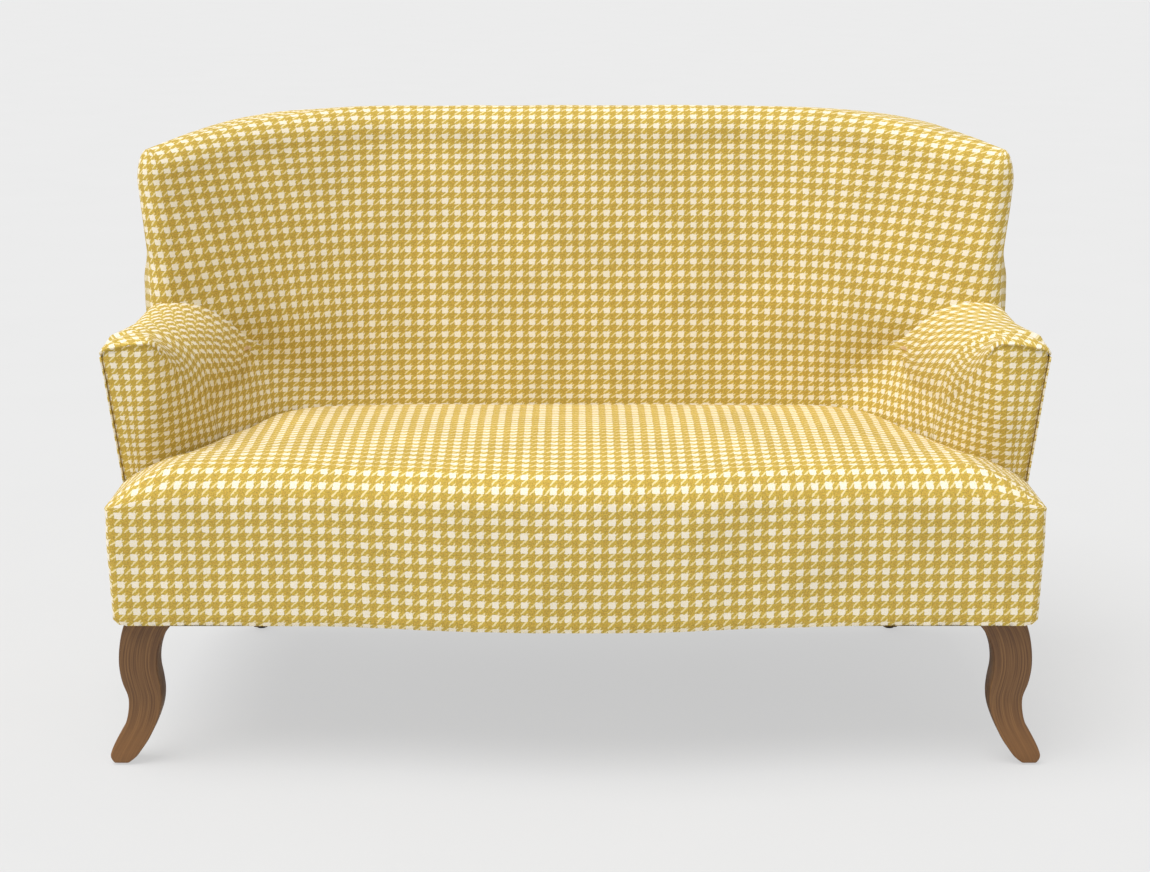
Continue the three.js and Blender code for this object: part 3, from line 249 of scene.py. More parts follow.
def backOuter(share, z, inset=0.0):
    centre = wingNose(z)[2]
    rear = outsideBackY(z) - inset
    start = flat(centre.x + back["nose"] - inset, centre.y)
    corner = flat(centre.x + back["nose"] - back["cornerInset"] - inset, rear)
    turnFrom, turnEnd = back["cornerShares"]

    def turned(part):
        return cornerPoint(flat(0, rear), corner, start, back["corner"] - inset, part)

    if share <= turnFrom:
        return flat(0, rear).lerp(turned(0), share / turnFrom)
    if share < turnEnd:
        return turned(between(share, turnFrom, turnEnd))
    place = turned(1).lerp(start, between(share, turnEnd, 1))
    full = min(between(place.y, *post["front"]), between(place.y, *post["rear"]),
               between(z, *post["low"]), between(z, *post["high"]))
    return place + flat(post["swell"] * ease(full), 0)

def alongRidge(share):
    z = springTop - 0.6 * (back["crest"] - back["wing"]) * share ** 2
    return backInner(share, z, lerp(back["ridgeInset"], back["wingRidgeInset"], share))

def ridgeHeight(share):
    past = between(share * seat["half"], back["flatHalf"], seat["half"])
    return back["crest"] - (back["crest"] - back["wing"]) * past ** back["fall"]

def springAt(ridge):
    return ridgeHeight(ridge) - lerp(back["crestRound"], back["wingRound"], ridge ** 2)

def rearFall(share):  # how far the top falls away behind the ridge, most at the rear corners
    return ease(between(share, 0.3, 0.6)) * (1 - ease(between(share, 0.86, 1)))

def rearSpring(share):
    return springAt(share) - back["rearDrop"] * rearFall(share)

def clothRate(x, z):  # cloth drawn across the back for each metre along x, most where it bends
    x = abs(x)
    bend = ease(between(x, 0.26, 0.5)) * (1 - ease(between(x, 0.53, 0.64)))
    high = 1 - (min(z, 0.93) - 0.6) / 0.25 if z > 0.6 else 1
    return 1.01 + 0.28 * bend * high + 0.09 * ease(between(x, 0.52, 0.64))

def clothUp(z):  # cloth up the back's face at a height
    d = z - 0.69
    return 1.016 * (d + 1.36 * d ** 3) - 0.14 * max(0.0, 0.53 - z) + 0.06 * max(0.0, z - 0.88)

def clothAcross(x, z, steps=48):
    return sum(clothRate(x * (k + 0.5) / steps, z) for k in range(steps)) * x / steps

def makeBack():
    shares, noseCount = spread(85), 13
    wallLevels = spread(67)
    roofTurns = [k / 14 * pi / 2 for k in range(1, 15)]
    stations = [("inner", s, s) for s in shares]
    stations += [("nose", k / noseCount, 1.0) for k in range(1, noseCount)]
    stations += [("outer", s, s) for s in reversed(shares)]
    walls = {"inner": backInner, "nose": backNose, "outer": backOuter}
    columns = []
    crestCloth = {}
    for kind, share, ridge in stations:
        outer = kind == "outer"
        spring = rearSpring(ridge) if outer else springAt(ridge)
        power = 1 + 0.7 * rearFall(ridge) if outer else 1.0
        column, cloth = [], []
        for level in wallLevels:
            z = lerp(back["low"], spring, level)
            hidden = back["tuck"] if outer and level < 1 and share <= 0.985 else 0.0
            place = walls[kind](share, z, hidden)
            column.append(lift(place, z))
            angle, touch, _ = wingNose(z)
            across = {"inner": place.x, "nose": touch, "outer": touch * share}[kind]
            u = clothAcross(across, z)
            if kind == "nose":
                u += back["nose"] * share * (pi / 2 + angle) * 1.12
            cloth.append((u, clothUp(z)))
        foot = walls[kind](share, spring)
        top = alongRidge(ridge)
        for turn in roofTurns:
            place = foot.lerp(top, 1 - cos(turn))
            point = lift(place, lerp(spring, ridgeHeight(ridge), sin(turn) ** power))
            cloth.append((cloth[-1][0], cloth[-1][1] + (point - column[-1]).length * 1.2))
            column.append(point)
        if kind == "inner":
            crestCloth[share] = cloth[-1][1]
        if outer:  # the crest's cloth runs on over the ridge and down behind
            behind = crestCloth[share]
            for k in range(len(column) - 1, len(wallLevels) - 2, -1):
                if k < len(column) - 1:
                    behind += (column[k + 1] - column[k]).length
                cloth[k] = (cloth[k][0], behind)
        columns.append((column, cloth))
    rows, weaves = [], []
    for j in range(len(columns[0][0])):
        right = [column[0][j] for column in columns]
        left = [mirrored(p) for p in right[1:-1]]
        rows.append(right + left[::-1])
        rightCloth = [column[1][j] for column in columns]
        leftCloth = [(-u, v) for u, v in rightCloth]
        weaves.append(rightCloth + leftCloth[-2::-1])
    obj = gridMesh("insideBack", rows, weaves, closedRing=True)
    closeUp(obj)
    return obj

# Arms: the plan of the right arm, with a fillet that runs tangent into the swept back
def armDir(z):  # the inner face leans out towards its rear end
    lean = arm["lean"] * (min(z, arm["leanTo"]) - arm["leanFrom"]) if z > arm["leanFrom"] else 0.0
    rear = flat(arm["innerRear"] + lean, seat["depth"])
    return (rear - flat(arm["innerFront"], arm["front"])).normalized()

def onArmLine(y, inset, z):
    way = armDir(z)
    x = arm["innerFront"] + inset * way.y
    start = arm["front"] - inset * way.x
    return flat(x + (y - start) * way.x / way.y, y)

filletStore = {}

def filletAt(z):  # found by halving: the circle that touches both the back and the arm's line
    key = round(z, 5)
    if key not in filletStore:
        radius = lerp(arm["fillet"], arm["highFillet"], between(z, *arm["filletSpan"]))
        low, high = 0.15, 0.62
        for _ in range(40):
            x = (low + high) / 2
            centre = offBack(x, z, -radius)
            if centre.x > onArmLine(centre.y, -radius, z).x:
                high = x
            else:
                low = x
        way = armDir(z)
        end = centre + flat(way.y, -way.x) * radius
        filletStore[key] = (flat(x, insideBackY(x, z)), centre, end)
    return filletStore[key]

def armInnerPlan(t, z):  # t runs from the touch on the back (0) past the fillet to the nose (1)
    touch, centre, end = filletAt(z)
    if t <= arm["bend"]:
        start = touch - centre
        return centre + swing(start, turnTo(start, end - centre) * t / arm["bend"])
    return end.lerp(armNosePlan(0, z), (t - arm["bend"]) / (1 - arm["bend"]))

def armNosePlan(share, z, inset=0.0):
    corner = onArmLine(arm["front"] + inset, inset, z)
    start = corner + armDir(z) * (arm["noseRun"] - inset)
    end = corner + flat(arm["noseReach"] - inset, 0)
    return start * (1 - share) ** 2 + corner * (2 * share * (1 - share)) + end * share ** 2

def armCornerPlan(share, z, inset=0.0):
    corner = flat(sideX(arm["front"], z) - inset, arm["front"] + inset)
    return cornerPoint(flat(0, corner.y), corner, flat(corner.x, 2), arm["corner"] - inset, share)

def armRidge(y):
    along = between(y, arm["ridgeStart"], arm["end"])
    x = seat["half"] - arm["ridgeInset"] - arm["ridgeTaper"] * along
    return Vector((x, y, arm["ridge"] + arm["ridgeRise"] * along))

def innerRidgeY(t):
    if t <= arm["bend"]:
        return lerp(arm["end"], arm["ridgeBend"], t / arm["bend"])
    return lerp(arm["ridgeBend"], arm["ridgeStart"], (t - arm["bend"]) / (1 - arm["bend"]))

def innerSpring(t):
    shoulder = lerp(arm["rearShoulder"], arm["shoulder"], between(t, 0, 0.6))
    return armRidge(innerRidgeY(t)).z - shoulder

def seamHeight(y):
    past = between(y, arm["front"] + arm["corner"], arm["ridgeStart"])
    return arm["seam"] + arm["seamRise"] * past

def innerRoof(t, turn):
    ridge = armRidge(innerRidgeY(t))
    spring = innerSpring(t)
    place = armInnerPlan(t, spring).lerp(flat(ridge.x, ridge.y), 1 - cos(turn))
    power = lerp(arm["hollow"], 1.0, between(t, 0, 0.75))
    return lift(place, lerp(spring, ridge.z, sin(turn) ** power))

def roofStart(turn):  # where the arm's roll leaves the back's surface
    low, high = 0.0, 1.0
    for _ in range(30):
        t = (low + high) / 2
        p = innerRoof(t, turn)
        if p.y > insideBackY(p.x, p.z) + 0.004:
            low = t
        else:
            high = t
    return high if turn > 0.0001 else 0.0

def lengthsTo(end, points):  # along the points, from each to the end
    left, found = 0.0, []
    for point in reversed(points):
        left += (end - point).length
        end = point
        found.append(left)
    return found[::-1]

def armInnerColumns(wall, turns, innerT):
    starts = [roofStart(turn) for turn in turns]
    columns = []
    for t0 in innerT:
        column, cloth = [], []
        for level in wall:
            z = lerp(arm["low"], innerSpring(t0), level)
            column.append(lift(armInnerPlan(t0, z), z))
            touch, centre, end = filletAt(z)
            stops = [armInnerPlan(t0 * k / 24, z) for k in range(25)]
            reach = sum((b - a).length for a, b in zip(stops, stops[1:]))
            bend = (end - touch).length
            cloth.append((clothAcross(touch.x, z) + min(reach, bend) * 1.05
                          + max(0.0, reach - bend) * 0.8, clothUp(z - arm["rowRise"] * t0)))
        for turn, start in zip(turns, starts):
            point = innerRoof(start + (1 - start) * t0, turn)
            reach = (point - column[-1]).length
            cloth.append((cloth[len(wall) - 1][0], cloth[-1][1] + reach))
            column.append(point)
        columns.append((column, cloth))
    # the rear end runs on into the back, where it is closed
    rear, rearCloth = columns[0]
    columns.insert(0, ([p + Vector((0, arm["behind"], 0)) for p in rear], rearCloth))
    return columns

def armNoseColumns(wall, turns, u0, ridgeV):
    columns = []
    pole = armRidge(arm["ridgeStart"])
    inner = pole.z - arm["shoulder"]
    front = pole.z - arm["frontDrop"]
    corner = pole.z - arm["cornerDrop"]
    rowStart = clothUp(inner - arm["rowRise"])
    reach = 0.0
    before = armNosePlan(0, inner)
    plan = [("nose", k / armSteps["nose"]) for k in range(1, armSteps["nose"] + 1)]
    plan += [("front", k / armSteps["front"]) for k in range(1, armSteps["front"])]
    plan += [("corner", k / armSteps["corner"]) for k in range(armSteps["corner"] + 1)]
    for index, (kind, share) in enumerate(plan):
        spring = {"nose": lerp(inner, front, ease(between(share, 0, 0.85))),
                  "front": lerp(front, corner, ease(share)),
                  "corner": lerp(corner, arm["seam"], share)}[kind]
        tuck = ease(between(share, 0.55, 0.9)) if kind == "nose" else 1.0

        def placeAt(z, out=0.0):
            if kind == "nose":
                return armNosePlan(share, z, -out)
            if kind == "front":
                return armNosePlan(1, z, -out).lerp(armCornerPlan(0, z, -out), share)
            return armCornerPlan(share, z, -out)

        here = placeAt(spring)
        reach += (here - before).length
        before = here
        column, cloth = [], []
        denser = 0.095 * ease(between(index, 0, 6))
        for level in wall:
            z = lerp(arm["low"], spring, level ** 0.8)
            near = between(z, spring - 0.014, spring)
            column.append(lift(placeAt(z, -arm["pleat"] * tuck * near ** 2), z))
            row = clothUp(z - arm["rowRise"]) - rowStart
            cloth.append((u0 + reach * 1.09, rowStart + row * (1 + denser)))
        points = []
        for k, turn in enumerate(turns):  # the roll hangs over the pleat
            out = arm["overhang"] * tuck * (1 - between(turn, 0.0, 0.9)) if k else 0.0015 * tuck
            drop = 0.0 if k else 0.0015 * tuck
            place = placeAt(spring, out).lerp(flat(pole.x, pole.y), 1 - cos(turn))
            points.append(lift(place, lerp(spring, pole.z, sin(turn)) - drop))
        psi = pi * (index + 1) / len(plan)
        lengths = lengthsTo(points[-1], points)
        springU, springV = cloth[-1]
        for point, length in zip(points, lengths):
            polar = (u0 + length * sin(psi), ridgeV - length * cos(psi))
            plain = (springU, springV + (lengths[0] - length))
            free = (1 - tuck) * ease(between(length / lengths[0], 0.3, 1))
            column.append(point)
            cloth.append((lerp(polar[0], plain[0], free), lerp(polar[1], plain[1], free)))
        columns.append((column, cloth))
    return columns

def armOuterColumn(wall, turns, ridge, cloth):
    y = ridge.y
    seam = seamHeight(y)
    heights = [lerp(arm["low"], seam, level ** 0.8) for level in wall]
    under = [0.0022] * (len(wall) - 1) + [0.0]  # the side cover lies over this part
    column = [Vector((sideX(y, z) - inset, y, z)) for z, inset in zip(heights, under)]
    points = []
    for turn in turns:
        place = flat(sideX(y, seam), y).lerp(flat(ridge.x, ridge.y), 1 - cos(turn))
        points.append(lift(place, lerp(seam, ridge.z, sin(turn))))
    u, v = cloth
    drops = [0.08 + seam - z for z in heights] + lengthsTo(ridge, points)
    return column + points, [(u, v + drop) for drop in drops]

def makeArm():
    wall = spread(armSteps["wall"])
    turns = [0.03, 0.07] + [k / armSteps["roof"] * pi / 2 for k in range(1, armSteps["roof"] + 1)]
    innerT = spread(armSteps["fillet"] + armSteps["line"])
    columns = armInnerColumns(wall, turns, innerT)
    ends = [(column[-1], cloth[-1]) for column, cloth in columns]
    lastCloth = columns[-1][1]
    columns += armNoseColumns(wall, turns, lastCloth[len(wall) - 1][0], lastCloth[-1][1])
    columns += [armOuterColumn(wall, turns, *end) for end in reversed(ends)]
    levels, count = len(columns[0][0]), len(columns)
    rows = [[column[0][j] for column in columns] for j in range(levels)]
    weaves = [[column[1][j] for column in columns] for j in range(levels)]
    # closed behind, inside the back, and below, inside the seat
    extra = [(j * count, (j + 1) * count, (j + 1) * count + count - 1, j * count + count - 1)
             for j in range(levels - 1)]
    for a in range((count - 1) // 2):
        b, c, d = a + 1, count - 2 - a, count - 1 - a
        extra.append((a, b, c, d) if b < c else (a, b, d))
    obj = gridMesh("rightArm", rows, weaves, extra=extra)
    closeUp(obj)
    return obj

# Seat
def bowAt(x):
    return seat["bow"] * cos(pi / 2 * between(abs(x), 0, seat["bowHalf"])) ** 2

def seatTopAt(x, y, share, rim):  # height of the sprung top, rounded off to the front and the sides
    level = lerp(rim, seat["crown"], sin(share * pi / 2))
    front = between(y + bowAt(x), 0, seat["edge"])
    side = between(seat["half"] - x, 0, seat["sideRun"])
    full = sqrt(1 - (1 - front) ** 2) * (1 - (1 - side) ** 1.8) ** 0.8
    return seat["spring"] + (level - seat["spring"]) * full

def seatStations():  # the seat's right outline, from the middle of the front to that of the rear
    gap = seat["gap"]

    def bowed(x):
        return lambda z, out: flat(x, -out - bowAt(x))

    def cornerAt(share, z, out):
        corner = flat(sideX(0, z) + out, -out)
        radius = seat["corner"] + out
        return cornerPoint(flat(0, corner.y), corner, flat(corner.x, 2), radius, share)

    def front(s):
        return lambda z, out: flat(seat["bowHalf"], -out).lerp(cornerAt(0, z, out), s)

    def side(s):
        def at(z, out):
            return cornerAt(1, z, out).lerp(flat(sideX(0, z) + out, seat["sideEnd"]), s)
        return at

    def returned(s):
        def at(z, out):
            corner = flat(sideX(0, z) + out, arm["front"] - gap)
            ends = (flat(corner.x, 0), corner, flat(0, corner.y))
            return cornerPoint(*ends, seat["returnCorner"], s)
        return at

    def innerArm(t):
        def at(z, out):
            ahead = armInnerPlan(min(1, t + 0.01), z) - armInnerPlan(max(0, t - 0.01), z)
            return armInnerPlan(t, z) + flat(ahead.y, -ahead.x).normalized() * gap
        return at

    def rear(s):
        return lambda z, out: offBack(filletAt(z)[0].x * s, z, -gap)

    steps = {key: spread(count) for key, count in seatSteps.items()}
    stations = [("front", bowed(x)) for x in spread(seatSteps["bow"], 0, seat["bowHalf"])]
    stations += [("front", front(s)) for s in steps["front"][1:-1]]
    stations += [("corner", lambda z, out, s=s: cornerAt(s, z, out)) for s in steps["corner"]]
    stations += [("side", side(s)) for s in steps["side"][1:]]
    stations += [("return", returned(s)) for s in steps["return"]]
    stations += [("return", lambda z, out, s=s: armNosePlan(s, z, -gap))
                 for s in steps["nose"][::-1]]
    stations += [("rear", innerArm(t)) for t in steps["arm"][::-1][1:]]
    stations += [("rear", rear(s)) for s in steps["rear"][::-1][1:]]
    return stations

def borderOut(z, kind, onSeam):  # the border's hem is rolled under, thinly
    roll = between(z, seat["hem"] + 0.006, seat["hem"])
    out = 0.0012 * sin(pi * between(z, seat["hem"] + 0.012, seat["hem"])) - 0.003 * roll ** 2
    out -= 0.0015 * between(z, seat["spring"] - 0.05, seat["spring"]) ** 2
    if kind != "front":
        out -= 0.004 * between(z, seat["hem"] + 0.016, seat["hem"]) ** 2
    return out - seat["seamSink"] if onSeam else out

def makeSeat():
    stations = seatStations()
    kinds = [kind for kind, at in stations]
    sideStart = kinds.index("side")
    cornerSeam = kinds.index("corner") + 6
    lastNose = len(kinds) - 1 - kinds[::-1].index("return")
    columns = []
    for index, (kind, at) in enumerate(stations):
        behind = kind in ("rear", "return")
        rim = seat["top"]
        if behind:
            rim = lerp(seat["armTop"], seat["rearTop"], between(index - lastNose, 0, 14))
        elif kind == "side":
            rim = lerp(rim, seat["armTop"], ease(between(index, sideStart, sideStart + 10)))
        foot = at(seat["spring"], 0.0)
        step = seat["spineHalf"] / seatSteps["spine"]
        spine = flat(round(min(foot.x, seat["spineHalf"]) / step) * step, seat["spineBack"])
        reach = (spine - foot).length
        ahead = (spine - foot) / reach
        tuck = seat["rearEdge"] if behind else 0.0
        if kind == "front":
            run = seat["edge"] / ahead.y
        elif kind == "corner":
            run = lerp(seat["edge"] / ahead.y, seat["sideRun"] / -ahead.x, 0.5)
        elif kind == "side":
            run = seat["sideRun"] / -ahead.x
        else:
            run = tuck
        run = min(run, 0.8 * reach)

        def topPoint(d):
            place = foot + ahead * d
            drop = tuck * (1 - sqrt(1 - (1 - min(1, d / tuck)) ** 2)) if behind else 0.0
            return lift(place, seatTopAt(place.x, place.y, d / reach, rim) - drop)

        wallTop = topPoint(0).z
        low = seat["hem"] if kind != "rear" else seat["low"]
        column = []
        for level in spread(seatSteps["wall"]):
            z = lerp(low, wallTop, level)
            out = 0.0 if behind else borderOut(z, kind, index == cornerSeam)
            column.append(lift(at(z, out), z))
        foot = flat(column[-1].x, column[-1].y)
        reach = (spine - foot).length
        ahead = (spine - foot) / reach
        for share in spread(seatSteps["edge"] + 1)[1:]:
            column.append(topPoint(run * (1 - cos(share * pi / 2))))
        for share in spread(seatSteps["top"] + 1)[1:]:
            column.append(topPoint(lerp(run, reach, share)))
        columns.append(column)
    rows, weaves, sideWeaves = [], [], []
    edge = seatSteps["wall"] + seatSteps["edge"]
    middle = columns[0]
    for j in range(len(middle)):
        right = [column[j] for column in columns]
        down = sum((middle[i + 1] - middle[i]).length for i in range(j, edge))
        drawn = down * 0.82 if down < 0.077 else 0.063 + (down - 0.077) * 0.98
        border = 1.03 * seat["edge"] - drawn
        cloth, sideCloth = [], []
        for k, p in enumerate(right):
            bowed = p.y + bowAt(p.x)
            follow = 1 - ease(between(bowed, 0.05, 0.33))
            top = (p.x * (1.01 - 0.035 * between(p.y, 0.1, 0.5)), 1.03 * lerp(p.y, bowed, follow))
            if j < edge and k < lastNose:  # over the edge and down the border, level with the floor
                cloth.append((p.x * lerp(1.012, 1.0, between(edge - j, 0, 10)), border))
                sideCloth.append((p.x * 1.012 + max(0.0, seat["top"] - p.z), top[1]))
            else:
                cloth.append(top)
                sideCloth.append(top)
        rows.append(right + [mirrored(p) for p in right[-2:0:-1]])
        weaves.append(cloth + [(-u, v) for u, v in cloth[-2::-1]])
        sideWeaves.append(sideCloth + [(-u, v) for u, v in sideCloth[-2::-1]])
    count = len(rows[0])
    extra = []
    for a in range(len(columns) - 1):  # closed below
        b, c, d = a + 1, (count - a - 1) % count, (count - a) % count
        extra.append((a, d, c, b) if a else (a, c, b))
    other = set(range(cornerSeam, lastNose)) | set(range(count - lastNose, count - cornerSeam))
    obj = gridMesh("seatTop", rows, weaves, closedRing=True, extra=extra, other=(other, sideWeaves))
    closeUp(obj)
    return obj

# Panels outside the arms, the wings and the back
panel = {"thick": 0.002, "seamShare": 0.71, "rearRows": 60, "lowRows": 44, "highRows": 22}

def thicken(obj, thickness):
    bpy.ops.object.select_all(action="DESELECT")
    bpy.context.view_layer.objects.active = obj
    obj.select_set(True)
    modifier = obj.modifiers.new("thickness", "SOLIDIFY")
    modifier.thickness = thickness
    modifier.offset = -1.0
    bpy.ops.object.modifier_apply(modifier=modifier.name)
    closeUp(obj)

def faceOut(obj, probe, index):  # turns an open grid so that one of its faces looks along probe
    if obj.data.polygons[index].normal.dot(Vector(probe)) < 0:
        obj.data.flip_normals()
        obj.data.update()

def makeRearPanel():
    half = []
    for share in spread(90, 0, panel["seamShare"] - 0.003):
        spring = rearSpring(share) - 0.001
        heights = spread(panel["rearRows"], seat["hem"], spring)
        half.append([lift(backOuter(share, z), z) for z in heights])
    columns = [[mirrored(p) for p in column] for column in half[:0:-1]] + half
    rows = [[column[j] for column in columns] for j in range(panel["rearRows"])]
    obj = gridMesh("outsideBack", rows, [[(p.x, p.z) for p in row] for row in rows])
    faceOut(obj, (0, 1, 0), len(obj.data.polygons) // 2)
    thicken(obj, panel["thick"])
    return obj

def makeSidePanel():
    columns = []
    lowLevels = spread(panel["lowRows"])
    for share in spread(34, panel["seamShare"] + 0.001, 1.0):
        seam = arm["seam"] + arm["seamRise"] - 0.0005
        heights = [lerp(seat["hem"], seam, level) for level in lowLevels]
        heights += spread(panel["highRows"] + 1, seam, rearSpring(share) - 0.001)[1:]
        columns.append([lift(backOuter(share, z), z) for z in heights])
    for s in spread(40)[1:]:
        column = []
        for level in lowLevels:
            nose = wingNose(lerp(seat["hem"], arm["seam"], level))[2].y
            seam = seamHeight(lerp(nose, arm["front"] + 0.001, s)) - 0.0005
            z = lerp(seat["hem"], seam, level)
            y = lerp(wingNose(z)[2].y, arm["front"] + 0.001, s)
            column.append(Vector((sideX(y, z), y, z)))
        columns.append(column)
    arcs = [0.0]
    for a, b in zip(columns, columns[1:]):
        arcs.append(arcs[-1] + (a[20] - b[20]).length)
    verts, faces, uvs = [], [], []
    for i, column in enumerate(columns):
        start = len(verts)
        verts += column
        if i + 1 == len(columns):
            break
        after = start + len(column)
        for j in range(min(len(column), len(columns[i + 1])) - 1):
            faces.append((start + j, after + j, after + j + 1, start + j + 1))
            z = [column[j].z, columns[i + 1][j].z, columns[i + 1][j + 1].z, column[j + 1].z]
            uvs.append([(arcs[i], z[0]), (arcs[i + 1], z[1]), (arcs[i + 1], z[2]), (arcs[i], z[3])])
    obj = newPiece("rightSide", verts, faces, uvs)
    faceOut(obj, (1, 0, 0), len(faces) - 5)
    thicken(obj, panel["thick"])
    return obj

def makeDustCover():  # black cloth tacked under the rails, sagging a little between them
    low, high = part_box("dust_cover")
    half = high.x - 0.001
    rows = []
    for b in spread(30):
        row = []
        for a in spread(56, -1, 1):
            front = low.y + seat["bow"] - bowAt(a * half)
            sag = 0.004 * (1 - a ** 6) * sin(pi * b) ** 0.5
            z = low.z + 0.0012 - min(sag, max(0.0, low.z - 0.2305))
            row.append(Vector((a * half, lerp(front, high.y, b), z)))
        rows.append(row)
    obj = gridMesh("dustCover", rows, [[(p.x, p.y) for p in row] for row in rows])
    faceOut(obj, (0, 0, -1), len(obj.data.polygons) // 2)
    thicken(obj, 0.001)
    return obj

# Materials
def addNode(tree, kind, inputs=None, **settings):
    made = tree.nodes.new(kind)
    for key, value in settings.items():
        setattr(made, key, value)
    for key, value in (inputs or {}).items():
        if isinstance(value, bpy.types.NodeSocket):
            tree.links.new(value, made.inputs[key])
        else:
            made.inputs[key].default_value = value
    return made

def mathNode(tree, operation, *values):
    return addNode(tree, "ShaderNodeMath", dict(enumerate(values)), operation=operation).outputs[0]

def times(tree, first, *others):
    for other in others:
        first = mathNode(tree, "MULTIPLY", first, other)
    return first

def oneLess(tree, value):
    return mathNode(tree, "SUBTRACT", 1.0, value)

def vectorNode(tree, operation, inputs):
    return addNode(tree, "ShaderNodeVectorMath", inputs, operation=operation).outputs[0]

def smoothNode(tree, value, low, high):
    made = addNode(tree, "ShaderNodeMapRange", {0: value, 1: low, 2: high, 3: 0.0, 4: 1.0},
                   interpolation_type="SMOOTHSTEP")
    return made.outputs[0]

def mixColour(tree, factor, a, b):
    return addNode(tree, "ShaderNodeMix", {0: factor, 6: a, 7: b}, data_type="RGBA").outputs[2]

def noiseNode(tree, place, scale, detail=2.0, roughness=0.5):
    inputs = {"Vector": place, "Scale": scale, "Detail": detail, "Roughness": roughness}
    return addNode(tree, "ShaderNodeTexNoise", inputs)

def drawnOut(tree, place, scale):
    return addNode(tree, "ShaderNodeMapping", {"Vector": place, "Scale": scale}).outputs[0]

def jitter(tree, uv, place, scale, detail, amount):
    shift = vectorNode(tree, "SUBTRACT", {0: noiseNode(tree, uv, scale, detail).outputs["Color"],
                                          1: (0.5, 0.5, 0.5)})
    shift = vectorNode(tree, "SCALE", {0: shift, "Scale": amount})
    return vectorNode(tree, "ADD", {0: place, 1: shift})

def newMaterial(name):
    material = bpy.data.materials.new(name)
    material.use_nodes = True
    tree = material.node_tree
    tree.nodes.clear()
    return material, tree

def linear(red, green, blue):
    def one(value):
        value /= 255
        return value / 12.92 if value <= 0.04045 else ((value + 0.055) / 1.055) ** 2.4
    return (one(red), one(green), one(blue), 1.0)

def finishShader(tree, colour, roughness, height, strength, distance, **inputs):
    bump = addNode(tree, "ShaderNodeBump",
                   {"Strength": strength, "Distance": distance, "Height": height})
    inputs.update({"Base Color": colour, "Roughness": roughness, "Normal": bump.outputs[0]})
    shader = addNode(tree, "ShaderNodeBsdfPrincipled", inputs)
    addNode(tree, "ShaderNodeOutputMaterial", {"Surface": shader.outputs[0]})

weave = {
    "tileU": 0.0222, "tileV": 0.0215, "phaseV": 0.47, "halfU": 0.25, "halfV": 0.235,
    "tail": 0.08, "threads": 16,
    "gold": linear(203, 172, 76), "amber": linear(188, 150, 68), "olive": linear(144, 132, 68),
    "white": linear(234, 226, 212), "cream": linear(232, 216, 165),
}

def makeCloth():
    material, tree = newMaterial("coverCloth")

    def plus(a, b):
        return mathNode(tree, "ADD", a, b)

    def minus(a, b):
        return mathNode(tree, "SUBTRACT", a, b)

    uv = addNode(tree, "ShaderNodeUVMap", uv_map="cloth").outputs[0]
    moved = jitter(tree, uv, uv, 60.0, 3.0, 0.0035)
    moved = jitter(tree, uv, moved, 340.0, 2.0, 0.0034)
    parts = addNode(tree, "ShaderNodeSeparateXYZ", {0: moved}).outputs
    u = plus(mathNode(tree, "DIVIDE", parts[0], weave["tileU"]), 0.5)
    v = plus(mathNode(tree, "DIVIDE", parts[1], weave["tileV"]), weave["phaseV"])

    def bandOf(value, centre, period, half, edge):  # 1 within half of the centre, again and again
        far = mathNode(tree, "PINGPONG", minus(value, centre), period / 2)
        return smoothNode(tree, minus(half, far), -edge, edge)

    a = bandOf(u, 0.0, 1.0, weave["halfU"], 0.07)
    b = bandOf(v, 0.0, 1.0, weave["halfV"], 0.07)
    slant = minus(u, v)
    below = bandOf(slant, 0.375, 0.5, weave["tail"], 0.05)
    beside = bandOf(slant, 0.125, 0.5, weave["tail"], 0.05)
    notA, notB = oneLess(tree, a), oneLess(tree, b)
    tails = plus(times(tree, a, notB, below), times(tree, b, notA, beside))
    grain = noiseNode(tree, uv, 500.0, 3.0, 0.7).outputs[0]
    rough = times(tree, minus(grain, 0.5), 0.5)
    field = plus(times(tree, a, b), rough)
    white = smoothNode(tree, field, 0.35, 0.65)
    tail = smoothNode(tree, plus(tails, rough), 0.25, 0.7)
    rim = times(tree, smoothNode(tree, field, 0.08, 0.35), oneLess(tree, white), 0.55)
    blotch = smoothNode(tree, noiseNode(tree, uv, 330.0).outputs[0], 0.35, 0.6)
    yellow = mixColour(tree, times(tree, notA, notB, blotch, 0.75), weave["gold"], weave["amber"])
    green = times(tree, smoothNode(tree, grain, 0.47, 0.6), 0.7)
    yellow = mixColour(tree, green, yellow, weave["olive"])
    pale = mixColour(tree, smoothNode(tree, grain, 0.34, 0.56), weave["cream"], weave["white"])
    colour = mixColour(tree, rim, yellow, weave["olive"])
    colour = mixColour(tree, times(tree, tail, 0.9), colour, weave["cream"])
    colour = mixColour(tree, white, colour, pale)
    cloud = noiseNode(tree, uv, 9.0).outputs[0]
    shade = addNode(tree, "ShaderNodeMapRange", {0: cloud, 1: 0.3, 2: 0.7, 3: 0.93, 4: 1.04})
    colour = vectorNode(tree, "SCALE", {0: colour, "Scale": shade.outputs[0]})
    threadU, threadV = (mathNode(tree, "SINE", times(tree, way, weave["threads"] * pi))
                        for way in (u, v))
    relief = times(tree, plus(threadU, threadV), 0.25)
    relief = plus(relief, grain)
    finishShader(tree, colour, 0.92, relief, 0.35, 0.0006,
                 **{"Specular IOR Level": 0.12, "Sheen Weight": 0.05, "Sheen Roughness": 0.5})
    return material

